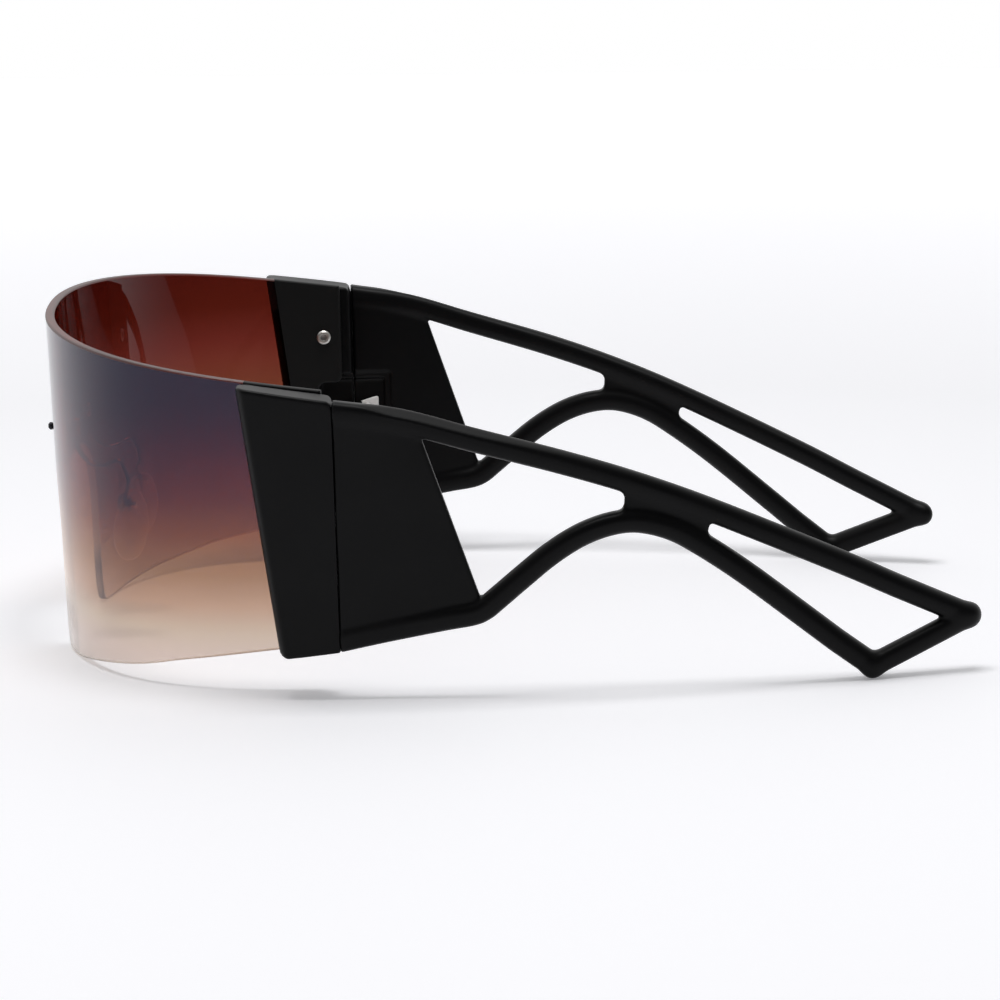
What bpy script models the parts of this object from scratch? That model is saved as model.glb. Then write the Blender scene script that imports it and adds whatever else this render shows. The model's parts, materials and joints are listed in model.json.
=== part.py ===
"""Wrap-around shield sunglasses with open-work temples, standing open on a table.

One curved shield lens, a moulded end piece screwed to each of its rear ends, a moulded
temple hinged to each end piece, and a nose pad on a wire arm at each side of the nose.
Metres, +Z up. The wearer looks along -Y and has the left hand at +X. The origin is on the
table under the middle of the whole part. Side pieces are modelled at +X and mirrored.
"""

import math

import bmesh
import bpy
import numpy as np
from mathutils import Matrix, Vector
from mathutils.geometry import delaunay_2d_cdt

MM = 0.001

# Lens: a ruled shield. Its top edge is a superellipse in plan, and its plan shrinks downwards.
LENS_HALF_WIDTH = 65.5 * MM
LENS_DEPTH = 57.4 * MM
LENS_HEIGHT = 64.2 * MM
LENS_WALL = 1.8 * MM
LENS_SIDE_POWER = 2.2
LENS_FRONT_POWER = 3.06
LENS_DEPTH_TAPER = 0.04
LENS_SETBACK = 2.0 * MM
LENS_TAIL_RISE = 8.9 * MM
LENS_CORNER = 1.5 * MM
NOSE_HALF_WIDTH = 20.5 * MM
NOSE_HEIGHT = 35.0 * MM
LOBE_FLAT = 5.0 * MM

# Height of the lens's brow where end piece and temple meet, how far their own tops stand below
# it there, and the tilt of the sides.
BROW_HEIGHT = 57.3 * MM
SIDE_DROP = 0.5 * MM
SIDE_LEAN = math.radians(5.0)
PARTING_TILT = math.radians(1.07)
LEAN_FADE = 60.0 * MM

# End pieces.
END_LENGTH = 17.6 * MM
END_FOOT_LENGTH = 10.2 * MM
END_RISE = 1.9 * MM
END_FOOT_HEIGHT = 7.6 * MM
END_HEEL_HEIGHT = 9.2 * MM
END_CURVE = 2.27 * MM
END_CHAMFER = 1.6 * MM
END_CORNER = 1.6 * MM
END_TOP_ROUND = 1.3 * MM
SIDE_OFFSET = 5.7 * MM

# Temples: one bar of constant thickness that runs along the top, turns sharply at the tip and
# again at the foot, and comes back over the ear arch to the bottom of a front panel.
BAR = 4.4 * MM
TEMPLE_REACH = 118.9 * MM
TEMPLE_TOE = 5.9 * MM
TEMPLE_BOW = 16.1 * MM
FOOT_REACH = 100.4 * MM
KNOB_RADIUS = 2.4 * MM
PANEL_TOP = 15.4 * MM
PANEL_FOOT = 27.6 * MM
PANEL_RECESS = 0.35 * MM
PANEL_REAR_WALL = 2.4 * MM
WEB_WALL = 2.6 * MM
WEB_FRONT_SAG = 1.6 * MM
WEB_REAR_SAG = 0.9 * MM

# Places along the temple, as (share of TEMPLE_REACH, share of BROW_HEIGHT), chosen by hand.
TOP_BAR_SHARES = (
    (0.105, 0.920), (0.220, 0.850), (0.359, 0.766), (0.473, 0.686),
    (0.594, 0.584), (0.785, 0.402), (0.882, 0.303),
)
TIP_SHARE = 0.185
ARCH_SHARES = (
    (0.785, 0.136), (0.737, 0.217), (0.641, 0.377), (0.570, 0.482), (0.523, 0.538),
    (0.473, 0.567), (0.429, 0.562), (0.382, 0.529), (0.335, 0.470), (0.289, 0.393),
    (0.250, 0.324), (0.232, 0.294), (0.212, 0.277), (0.169, 0.262), (0.077, 0.225),
    (0.013, 0.197),
)
WEB_FRONT_SHARES = ((0.439, 0.710), (0.435, 0.562))
WEB_REAR_SHARES = ((0.592, 0.586), (0.585, 0.462))

# Hinge, drawn in its own frame: outwards, rearwards, and up along its axis.
HINGE_HEIGHT = 29.2 * MM
AXIS_INSET = 0.7 * MM
LEAF_WALL = 1.2 * MM
LEAF_LENGTH = 4.6 * MM
LEAF_HALF_HEIGHT = 4.5 * MM
KNUCKLE_RADIUS = 1.5 * MM
KNUCKLE_HALF = 1.5 * MM
ANCHOR_RADIUS = 0.75 * MM
ANCHOR_LENGTH = 1.3 * MM
HINGE_SCREW_RADIUS = 0.6 * MM
HINGE_HEAD_RADIUS = 1.15 * MM
HINGE_HEAD_HEIGHT = 0.6 * MM
POCKET_LENGTH = 6.7 * MM
POCKET_HALF_HEIGHT = 8.2 * MM

# Screws that hold the end pieces on the lens.
LENS_SCREW_RADIUS = 0.7 * MM
LENS_SCREW_HEAD_RADIUS = 1.45 * MM
LENS_SCREW_HEAD_HEIGHT = 0.7 * MM
LENS_SCREW_BITE = 3.4 * MM
LENS_SCREW_BACK = 5.6 * MM
UPPER_SCREW_HEIGHT = 46.8 * MM
LOWER_SCREW_HEIGHT = 15.2 * MM
DRIVE_RADIUS = 0.55 * MM
DRIVE_DEPTH = 0.35 * MM

# Nose hardware: a wire arm bolted to the lens, with a pad that rocks on a small screw.
ARM_SCREW_SPREAD = 9.0 * MM
ARM_SCREW_HEIGHT = 41.5 * MM
ARM_SCREW_RADIUS = 0.6 * MM
ARM_HEAD_RADIUS = 1.2 * MM
ARM_HEAD_HEIGHT = 0.8 * MM
WASHER_RADIUS = 1.7 * MM
WASHER_WALL = 0.4 * MM
EYE_RADIUS = 1.6 * MM
EYE_WALL = 0.7 * MM
NUT_RADIUS = 1.5 * MM
NUT_WALL = 1.0 * MM
WIRE_RADIUS = 0.5 * MM
PAD_SPREAD = 11.5 * MM
PAD_SETBACK = 15.1 * MM
PAD_AXIS_HEIGHT = 26.6 * MM
PAD_SPLAY = math.radians(25.0)
PAD_TILT = math.radians(14.0)
PAD_HALF_WIDTH = 3.9 * MM
PAD_HALF_HEIGHT = 7.0 * MM
PAD_DROP = 4.1 * MM
PAD_WALL = 2.4 * MM
PAD_EDGE = 0.9 * MM
PAD_STANDOFF = 1.3 * MM
CORE_HALF_WIDTH = 2.1 * MM
CORE_HALF_HEIGHT = 4.2 * MM
CORE_WALL = 0.6 * MM
TAB_RADIUS = 1.1 * MM
TAB_HALF_WIDTH = 0.6 * MM
BOX_RADIUS = 1.7 * MM
BOX_HALF_WIDTH = 1.6 * MM
BOX_FRONT = 0.7 * MM
PAD_SCREW_RADIUS = 0.4 * MM
PAD_SCREW_HEAD_RADIUS = 0.85 * MM
PAD_SCREW_HEAD_HEIGHT = 0.5 * MM
# Bends of the wire, as shares of the way back and the way down from eye to box.
WIRE_SHARES = ((0.12, 0.30), (0.36, 0.52), (0.60, 0.54), (0.80, 0.44), (0.95, 0.55), (1.0, 0.80))

# Clearances.
PART_GAP = 0.3 * MM
SEAT_GAP = 0.15 * MM
RUNNING_GAP = 0.05 * MM
OVERRUN = 3.0 * MM

# The widest step between points of a shape.
PLATE_STEP = 4.5 * MM
ROW_STEP = 9.0 * MM
BAR_STEP = 5.0 * MM
EDGE_STEP = 3.0 * MM


# Curves and small sums.


def smoothstep(share):
    share = np.clip(share, 0.0, 1.0)
    return share * share * (3 - 2 * share)


def through(points, step):
    """A smooth curve through the points: Catmull-Rom spans, each cut to pieces of about step."""
    points = [np.array(point, float) for point in points]
    ends = [2 * points[0] - points[1]] + points + [2 * points[-1] - points[-2]]
    curve = []
    for a, b, c, d in zip(ends, ends[1:], ends[2:], ends[3:]):
        pieces = max(1, round(np.linalg.norm(c - b) / step))
        for t in np.arange(pieces) / pieces:
            slope = (c - a) * t + (2 * a - 5 * b + 4 * c - d) * t * t
            curve.append(b + 0.5 * (slope + (3 * b - a - 3 * c + d) * t**3))
    return np.array(curve + [points[-1]])


def straight(a, b, step):
    """Points from a up to but without b, no further apart than step."""
    a, b = np.array(a, float), np.array(b, float)
    pieces = max(1, math.ceil(np.linalg.norm(b - a) / step))
    return [a + (b - a) * k / pieces for k in range(pieces)]


def corner(a, v, b, radius, pieces=5):
    """The arc of this radius that rounds the corner v between a and b."""
    a, v, b = (np.array(point, float) for point in (a, v, b))
    to_a, to_b = (a - v) / np.linalg.norm(a - v), (b - v) / np.linalg.norm(b - v)
    half = 0.5 * math.acos(np.clip(to_a @ to_b, -1.0, 1.0))
    middle = to_a + to_b
    centre = v + middle / np.linalg.norm(middle) * radius / math.sin(half)
    start = v + to_a * radius / math.tan(half) - centre
    end = v + to_b * radius / math.tan(half) - centre
    turn = math.pi - 2 * half
    return [
        centre + (start * math.sin((1 - k) * turn) + end * math.sin(k * turn)) / math.sin(turn)
        for k in np.linspace(0.0, 1.0, pieces)
    ]


def bowed(a, b, sag, pieces=6):
    """Points from a to b on a shallow arc that stands sag to the right of the line."""
    a, b = np.array(a, float), np.array(b, float)
    side = np.array([b[1] - a[1], a[0] - b[0]]) / np.linalg.norm(b - a)
    return [a + (b - a) * k + side * sag * 4 * k * (1 - k) for k in np.linspace(0.0, 1.0, pieces)]


# The lens surface.


def lens_top(share):
    """Height of the lens's top edge where its plan reaches this share of the depth."""
    return BROW_HEIGHT + (LENS_HEIGHT - BROW_HEIGHT) * share


def lens_taper(drop):
    """Half width and depth of the lens's plan at this drop below its top edge."""
    return LENS_HALF_WIDTH - math.tan(SIDE_LEAN) * drop, LENS_DEPTH - LENS_DEPTH_TAPER * drop


def lens_outer(turn, z):
    """Outer surface of the lens. turn runs from -90 to 90 degrees round its plan."""
    across = np.sign(turn) * np.abs(np.sin(turn)) ** (2 / LENS_SIDE_POWER)
    ahead = np.abs(np.cos(turn)) ** (2 / LENS_FRONT_POWER)
    half_width, depth = lens_taper(lens_top(ahead) - z)
    return np.stack([half_width * across, -depth * ahead, z + 0 * turn], -1)


def lens_normal(point):
    """Outward direction of the lens at a point of its outer surface."""
    x, y, z = np.moveaxis(np.asarray(point), -1, 0)
    half_width, depth = lens_taper(lens_top(np.abs(y) / LENS_DEPTH) - z)
    across = np.sign(x) * np.abs(x / half_width) ** (LENS_SIDE_POWER - 1) * LENS_SIDE_POWER / half_width
    ahead = -np.abs(y / depth) ** (LENS_FRONT_POWER - 1) * LENS_FRONT_POWER / depth
    lean = x / half_width * math.tan(SIDE_LEAN) * across + y / depth * LENS_DEPTH_TAPER * ahead
    normal = np.stack([across, ahead, -lean], -1)
    return normal / np.linalg.norm(normal, axis=-1, keepdims=True)


TURNS = np.linspace(0.0, math.pi / 2, 400)
TOP_EDGE = lens_outer(TURNS, BROW_HEIGHT)
ARC_LENGTHS = np.append(0.0, np.cumsum(np.linalg.norm(np.diff(TOP_EDGE, axis=0), axis=1)))


def turn_at_arc(arc):
    """The lens's turn at a length along its plan, measured from the middle of the front."""
    return np.sign(arc) * np.interp(np.abs(arc), ARC_LENGTHS, TURNS)


def arc_at_y(y, z):
    """The length along the lens's plan, on the +X side, at which it reaches this y."""
    depth = lens_taper(lens_top(abs(y) / LENS_DEPTH) - z)[1]
    turn = math.acos(min(1.0, abs(y) / depth) ** (LENS_FRONT_POWER / 2))
    return float(np.interp(turn, TURNS, ARC_LENGTHS))


def lens_side(y, z):
    """How far out the lens's outer surface stands at this y and z, near its rear ends."""
    half_width, depth = lens_taper(lens_top(np.abs(y) / LENS_DEPTH) - z)
    share = np.clip(-np.minimum(y, 0.0) / depth, 0.0, 1.0)
    return half_width * (1 - share**LENS_FRONT_POWER) ** (1 / LENS_SIDE_POWER)


def lens_frame(point):
    """A frame on the lens's outer surface: its Z points outwards and its Y up."""
    outwards = Vector(lens_normal(point))
    across = Vector((0, 0, 1)).cross(outwards).normalized()
    frame = Matrix((across, outwards.cross(across), outwards)).transposed().to_4x4()
    frame.translation = Vector(point)
    return frame


# The side surface: the middle of the wall of end piece and temple.


def parting_y(z):
    """The line where end piece and temple meet."""
    return math.tan(PARTING_TILT) * (BROW_HEIGHT - z)


def bar_start():
    """The middle of the top bar at the parting line, as (y, z)."""
    return 0.0, BROW_HEIGHT - SIDE_DROP - BAR / 2


def bar_top_height(y):
    """Height of the middle of the top bar."""
    route = np.array([bar_start()] + temple_places(TOP_BAR_SHARES))
    return np.interp(y, route[:, 0], route[:, 1])


def side(y, z):
    base = LENS_HALF_WIDTH + SIDE_OFFSET
    behind = np.maximum(y, 0.0) / TEMPLE_REACH
    ahead = np.minimum(y, 0.0) / END_LENGTH
    base = base - TEMPLE_TOE * behind - TEMPLE_BOW * behind**2 - END_CURVE * ahead**2
    return base - math.tan(SIDE_LEAN) * (1 - smoothstep(y / LEAN_FADE)) * (bar_top_height(y) - z)


def side_normal(y, z):
    near = PART_GAP
    slope_y = (side(y + near, z) - side(y - near, z)) / (2 * near)
    slope_z = (side(y, z + near) - side(y, z - near)) / (2 * near)
    normal = np.stack([1 + 0 * slope_y, -slope_y, -slope_z], -1)
    return normal / np.linalg.norm(normal, axis=-1, keepdims=True)


def temple_places(shares):
    return [(along * TEMPLE_REACH, up * BROW_HEIGHT) for along, up in shares]


def hinge_frame():
    """The hinge's frame: X outwards, Y to the rear, Z up along the axis, which leans like the wall."""
    y = parting_y(HINGE_HEIGHT)
    up = Vector((math.tan(SIDE_LEAN), -math.tan(PARTING_TILT), 1)).normalized()
    rear = (Vector((0, 1, 0)) - up * up.y).normalized()
    frame = Matrix((rear.cross(up), rear, up)).transposed().to_4x4()
    frame.translation = Vector((float(side(y, HINGE_HEIGHT)) - BAR / 2 - AXIS_INSET, y, HINGE_HEIGHT))
    return frame


def pad_frame():
    """The nose pad's frame: X away from the nose, Y to the rear along the rocking axis, Z up."""
    frame = Matrix.Rotation(-PAD_SPLAY, 4, "Z") @ Matrix.Rotation(-PAD_TILT, 4, "Y")
    frame.translation = Vector((PAD_SPREAD, PAD_SETBACK - LENS_DEPTH, PAD_AXIS_HEIGHT))
    return frame


# Meshes.


def material(name, colour, roughness, metallic=0.0, transmission=0.0):
    made = bpy.data.materials.new(name)
    made.use_nodes = True
    shader = made.node_tree.nodes["Principled BSDF"]
    shader.inputs["Base Color"].default_value = (*colour, 1.0)
    shader.inputs["Roughness"].default_value = roughness
    shader.inputs["Metallic"].default_value = metallic
    shader.inputs["Transmission Weight"].default_value = transmission
    return made


def solid(name, points, faces, finish):
    mesh = bpy.data.meshes.new(name)
    mesh.from_pydata([tuple(map(float, point)) for point in points], [], faces)
    shape = bmesh.new()
    shape.from_mesh(mesh)
    bmesh.ops.recalc_face_normals(shape, faces=shape.faces)
    shape.to_mesh(mesh)
    shape.free()
    mesh.materials.append(finish)
    made = bpy.data.objects.new(name, mesh)
    bpy.context.scene.collection.objects.link(made)
    return made


def plate(name, outline, steps, outer, inner, finish):
    """A closed plate over a flat outline. outer and inner turn its flat points into the two faces."""
    outline = np.array(outline)
    low, high = outline.min(axis=0), outline.max(axis=0)
    grid = np.stack(np.meshgrid(*(
        np.linspace(a, b, max(2, round((b - a) / step)) + 1)[1:-1]
        for a, b, step in zip(low, high, steps)
    )), -1).reshape(-1, 2)
    following = np.roll(outline, -1, axis=0)
    crossing = (outline[:, 1] > grid[:, None, 1]) != (following[:, 1] > grid[:, None, 1])
    with np.errstate(divide="ignore", invalid="ignore"):
        lean = (following[:, 0] - outline[:, 0]) / (following[:, 1] - outline[:, 1])
        meets = outline[:, 0] + (grid[:, None, 1] - outline[:, 1]) * lean
    inside = (crossing & (grid[:, None, 0] < meets)).sum(axis=1) % 2 == 1
    away = np.abs(grid[:, None] - outline).max(axis=2).min(axis=1) > 0.3 * min(steps)
    flat = np.concatenate([outline, grid[inside & away]])
    count = len(outline)
    ring = [(k, (k + 1) % count) for k in range(count)]
    found = delaunay_2d_cdt([Vector(point) for point in flat], ring, [], 1, 1e-9)
    flat, triangles = np.array([tuple(point) for point in found[0]]), found[2]
    total = len(flat)
    faces = [list(face) for face in triangles]
    faces += [[k + total for k in reversed(face)] for face in triangles]
    faces += [[a, b, b + total, a + total] for a, b in ring]
    return solid(name, np.concatenate([outer(flat), inner(flat)]), faces, finish)


def sweep(name, route, normals, radius, powers, sides, finish):
    """A bar along a route. Its section goes from a rounded square to a circle as powers fall to 2."""
    route = np.asarray(route, float)
    along = np.gradient(route, axis=0)
    along /= np.linalg.norm(along, axis=1, keepdims=True)
    outwards = normals - along * (normals * along).sum(axis=1, keepdims=True)
    outwards /= np.linalg.norm(outwards, axis=1, keepdims=True)
    sideways = np.cross(along, outwards)
    angle = 2 * math.pi * (np.arange(sides) + 0.5) / sides
    bend = 2 / np.asarray(powers)[:, None]
    a = np.sign(np.cos(angle)) * np.abs(np.cos(angle)) ** bend
    b = np.sign(np.sin(angle)) * np.abs(np.sin(angle)) ** bend
    rings = route[:, None] + radius * (a[..., None] * outwards[:, None] + b[..., None] * sideways[:, None])
    count = len(route)
    faces = [list(range(sides)), [(count - 1) * sides + k for k in reversed(range(sides))]]
    for row in range(count - 1):
        for k in range(sides):
            at, after = row * sides + k, row * sides + (k + 1) % sides
            faces.append([at, after, after + sides, at + sides])
    return solid(name, rings.reshape(-1, 3), faces, finish)


def prism(name, outline, axis, low, high, frame, finish):
    """An outline in the frame's other two axes, in their order, carried from low to high along axis."""
    count = len(outline)
    points = []
    for level in (low, high):
        for pair in outline:
            point = list(pair)
            point.insert(axis, level)
            points.append(frame @ Vector(point))
    faces = [list(range(count)), [count + k for k in range(count)]]
    faces += [[k, (k + 1) % count, (k + 1) % count + count, k + count] for k in range(count)]
    return solid(name, points, faces, finish)


def block(name, low, high, frame, finish):
    (a, b, c), (d, e, f) = low, high
    return prism(name, [(a, b), (d, b), (d, e), (a, e)], 2, c, f, frame, finish)


def round_outline(radius, sides, centre=(0.0, 0.0)):
    return [
        (
            centre[0] + radius * math.cos(2 * math.pi * k / sides),
            centre[1] + radius * math.sin(2 * math.pi * k / sides),
        )
        for k in range(sides)
    ]


def rod(name, radius, axis, low, high, frame, finish, sides=16, centre=(0.0, 0.0)):
    return prism(name, round_outline(radius, sides, centre), axis, low, high, frame, finish)


def ball(name, radius, centre, finish):
    shape = bmesh.new()
    bmesh.ops.create_uvsphere(shape, u_segments=16, v_segments=10, radius=radius)
    mesh = bpy.data.meshes.new(name)
    shape.to_mesh(mesh)
    shape.free()
    mesh.transform(Matrix.Translation(centre))
    mesh.materials.append(finish)
    made = bpy.data.objects.new(name, mesh)
    bpy.context.scene.collection.objects.link(made)
    return made


def combine(made, others, operation):
    """Joins the others to a solid or cuts them from it, and removes them."""
    for other in others:
        modifier = made.modifiers.new(operation.lower(), "BOOLEAN")
        modifier.operation = operation
        modifier.object = other
        other.hide_render = True
        other.display_type = "WIRE"
    bpy.context.view_layer.update()
    graph = bpy.context.evaluated_depsgraph_get()
    mesh = bpy.data.meshes.new_from_object(made.evaluated_get(graph))
    made.modifiers.clear()
    made.data = mesh
    mesh.name = made.name
    for other in others:
        bpy.data.objects.remove(other)
    return made


def union(made, *others):
    return combine(made, others, "UNION")


def cut(made, *others):
    return combine(made, others, "DIFFERENCE")


def mirrored(made, name):
    """The same piece for the wearer's right side, with its faces turned back outwards."""
    mesh = made.data.copy()
    mesh.name = name
    mesh.transform(Matrix.Diagonal((-1, 1, 1, 1)))
    mesh.flip_normals()
    copy = bpy.data.objects.new(name, mesh)
    bpy.context.scene.collection.objects.link(copy)
    return copy


def pivot(name, frame):
    empty = bpy.data.objects.new(name, None)
    empty.matrix_world = frame
    bpy.context.scene.collection.objects.link(empty)
    return empty


def mirrored_frame(frame):
    """The matching frame at -X, still right-handed: its X points inwards."""
    flip = Matrix.Diagonal((-1, 1, 1, 1))
    return flip @ frame @ flip


# Pieces.


def shield_lens(finish):
    """The lens, flat as (length along its plan, height), then bent onto its ruled surface."""
    lobe = NOSE_HALF_WIDTH
    tail_z = LENS_TAIL_RISE
    low_rear = arc_at_y(parting_y(tail_z) - LENS_SETBACK, tail_z)
    high_z = lens_top(LENS_SETBACK / LENS_DEPTH)
    high_rear = arc_at_y(-LENS_SETBACK, high_z)
    notch_shares = (
        (0.0, 1.0), (0.45, 0.985), (0.75, 0.92), (0.93, 0.80), (1.0, 0.64),
        (1.0, 0.40), (1.0, 0.22), (1.03, 0.09), (1.10, 0.02), (1.22, 0.0),
    )
    nose = through([(lobe * a, NOSE_HEIGHT * b) for a, b in notch_shares], EDGE_STEP)
    skirt_start = nose[-1][0] + LOBE_FLAT
    skirt_shares = (
        (0.0, 0.0), (0.08, 0.05), (0.20, 0.155), (0.31, 0.25), (0.42, 0.36), (0.50, 0.47),
        (0.57, 0.58), (0.72, 0.755), (0.86, 0.895), (1.0, 1.0),
    )
    length = low_rear - skirt_start
    skirt = through([(skirt_start + length * a, tail_z * b) for a, b in skirt_shares], PLATE_STEP)
    notch_low, notch_high = HINGE_HEIGHT - POCKET_HALF_HEIGHT, HINGE_HEIGHT + POCKET_HALF_HEIGHT
    rear_low = arc_at_y(parting_y(notch_low) - LENS_SETBACK, notch_low)
    rear_high = arc_at_y(parting_y(notch_high) - LENS_SETBACK, notch_high)
    front_low = arc_at_y(parting_y(notch_low) - POCKET_LENGTH - PART_GAP, notch_low)
    front_high = arc_at_y(parting_y(notch_high) - POCKET_LENGTH - PART_GAP, notch_high)
    half = list(nose) + list(skirt[:-1])
    half += corner(skirt[-2], (low_rear, tail_z), (rear_low, notch_low), LENS_CORNER, 4)
    half += straight(half[-1], (rear_low, notch_low), ROW_STEP)[1:]
    half += corner(half[-1], (rear_low, notch_low), (front_low, notch_low), LENS_CORNER, 4)
    half += corner((rear_low, notch_low), (front_low, notch_low), (front_high, notch_high), LENS_CORNER, 4)
    half += corner((front_low, notch_low), (front_high, notch_high), (rear_high, notch_high), LENS_CORNER, 4)
    half += corner((front_high, notch_high), (rear_high, notch_high), (high_rear, high_z), LENS_CORNER, 4)
    half += straight(half[-1], (high_rear, high_z), ROW_STEP)[1:]
    arcs = np.linspace(high_rear, 0.0, math.ceil(high_rear / PLATE_STEP) + 1)
    aheads = np.cos(turn_at_arc(arcs)) ** (2 / LENS_FRONT_POWER)
    half += list(zip(arcs, lens_top(aheads)))
    half = np.array([tuple(point) for point in half])
    outline = np.concatenate([half, half[-2:0:-1] * (-1, 1)])

    def outer(flat):
        return lens_outer(turn_at_arc(flat[:, 0]), flat[:, 1])

    def inner(flat):
        """A wall further in, measured level, so that the lens's edges and its two feet are cut level."""
        face = outer(flat)
        inwards = lens_normal(face) * (1, 1, 0)
        return face - LENS_WALL * inwards / (inwards**2).sum(axis=-1, keepdims=True)

    made = plate("shield_lens", outline, (PLATE_STEP, ROW_STEP), outer, inner, finish)
    holes = []
    for frame in lens_screw_frames():
        for place in (frame, mirrored_frame(frame)):
            holes.append(lens_hole(place, LENS_SCREW_RADIUS, finish))
    for place in (arm_screw_frame(), mirrored_frame(arm_screw_frame())):
        holes.append(lens_hole(place, ARM_SCREW_RADIUS, finish))
    return cut(made, *holes)


def lens_hole(frame, radius, finish):
    return rod("hole", radius + SEAT_GAP, 2, -LENS_WALL - OVERRUN, OVERRUN, frame, finish)


def lens_screw_frames():
    """Upper and lower screw of the +X side."""
    frames = []
    for z in (UPPER_SCREW_HEIGHT, LOWER_SCREW_HEIGHT):
        y = parting_y(z) - LENS_SCREW_BACK
        frames.append(lens_frame((float(lens_side(y, z)), y, z)))
    return frames


def arm_screw_frame():
    z = ARM_SCREW_HEIGHT
    turn = turn_at_arc(np.array(ARM_SCREW_SPREAD))
    return lens_frame(lens_outer(turn, z))


def side_plate(name, outline, steps, outside, inside, finish):
    """A plate over (y, z). outside and inside give the distances of its faces from the side surface."""

    def face(flat, away):
        y, z = flat[:, 0], flat[:, 1]
        middle = np.stack([side(y, z), y, z], -1)
        return middle + away(y, z)[:, None] * side_normal(y, z)

    return plate(
        name, outline, steps, lambda flat: face(flat, outside), lambda flat: face(flat, inside), finish
    )


def end_piece(finish):
    """A thick moulded block between the lens's outer face and the outside of the wall."""
    top_front = (-END_LENGTH, BROW_HEIGHT + END_RISE)
    foot_front = (-END_FOOT_LENGTH, END_FOOT_HEIGHT)
    heel_rear = (parting_y(END_HEEL_HEIGHT) + OVERRUN, END_HEEL_HEIGHT)
    joint = [
        (parting_y(z) - PART_GAP / 2 + RUNNING_GAP, z)
        for z in (END_HEEL_HEIGHT, BROW_HEIGHT - SIDE_DROP)
    ]
    round_top = corner(joint[0], joint[1], top_front, END_TOP_ROUND)
    outline = straight(top_front, foot_front, EDGE_STEP)
    outline += corner(top_front, foot_front, heel_rear, END_CORNER)
    outline += straight(outline[-1], heel_rear, EDGE_STEP)[1:]
    outline += straight(heel_rear, (OVERRUN, round_top[0][1]), EDGE_STEP)
    outline += [np.array((OVERRUN, round_top[0][1]))] + round_top
    outline += straight(round_top[-1], top_front, EDGE_STEP)[1:]

    def outer(flat):
        y, z = flat[:, 0], flat[:, 1]
        return np.stack([side(y, z) + BAR / 2, y, z], -1)

    def inner(flat):
        y, z = flat[:, 0], flat[:, 1]
        front = np.interp(z, (END_FOOT_HEIGHT, BROW_HEIGHT + END_RISE), (-END_FOOT_LENGTH, -END_LENGTH))
        chamfer = np.clip(END_CHAMFER - (y - front), 0.0, END_CHAMFER)
        return np.stack([lens_side(y, z) + PART_GAP + chamfer, y, z], -1)

    outline = [point for k, point in enumerate(outline) if np.linalg.norm(point - outline[k - 1]) > RUNNING_GAP]
    made = plate("left_end_piece", outline, (EDGE_STEP, PLATE_STEP), outer, inner, finish)
    hinge = hinge_frame()
    wide = LENS_HALF_WIDTH
    rear = block("rear", (-wide, -PART_GAP / 2, -wide), (wide, wide, wide), hinge, finish)
    floor = AXIS_INSET + LEAF_WALL + PART_GAP
    pocket = block(
        "pocket", (-wide, -POCKET_LENGTH, -POCKET_HALF_HEIGHT), (floor, OVERRUN, POCKET_HALF_HEIGHT), hinge, finish
    )
    cutters = [rear, pocket] + anchor_holes(-1, floor, hinge, finish)
    for frame in lens_screw_frames():
        depth = LENS_SCREW_BITE + PART_GAP
        cutters.append(rod("thread", LENS_SCREW_RADIUS + RUNNING_GAP, 2, -OVERRUN, depth, frame, finish))
    return cut(made, *cutters)


def bar_routes():
    """The middles of the temple's three bars as (y, z): top, foot and lower bar, with the ear arch."""
    tip = np.array((TEMPLE_REACH, TIP_SHARE * BROW_HEIGHT))
    foot = np.array((FOOT_REACH, KNOB_RADIUS))
    start = np.array(bar_start())
    top = temple_places(TOP_BAR_SHARES)
    before = 2 * start - np.array(top[0])
    upper = list(through([before, start] + top, BAR_STEP))
    upper += straight(upper[-1], tip, 2 * BAR_STEP)[1:] + [tip]
    arch = temple_places(ARCH_SHARES)
    after = 2 * np.array(arch[-1]) - np.array(arch[-2])
    lower = [foot] + list(through(arch + [after], BAR_STEP * 0.8))
    return [np.array(route) for route in (upper, [tip, foot], lower)]


def bar(route, finish):
    y, z = route[:, 0], route[:, 1]
    places = np.stack([side(y, z), y, z], -1)
    powers = 2.3 + 1.7 * (1 - smoothstep(y / LEAN_FADE))
    return sweep("left_temple", places, side_normal(y, z), BAR / 2, powers, 12, finish)


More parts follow.
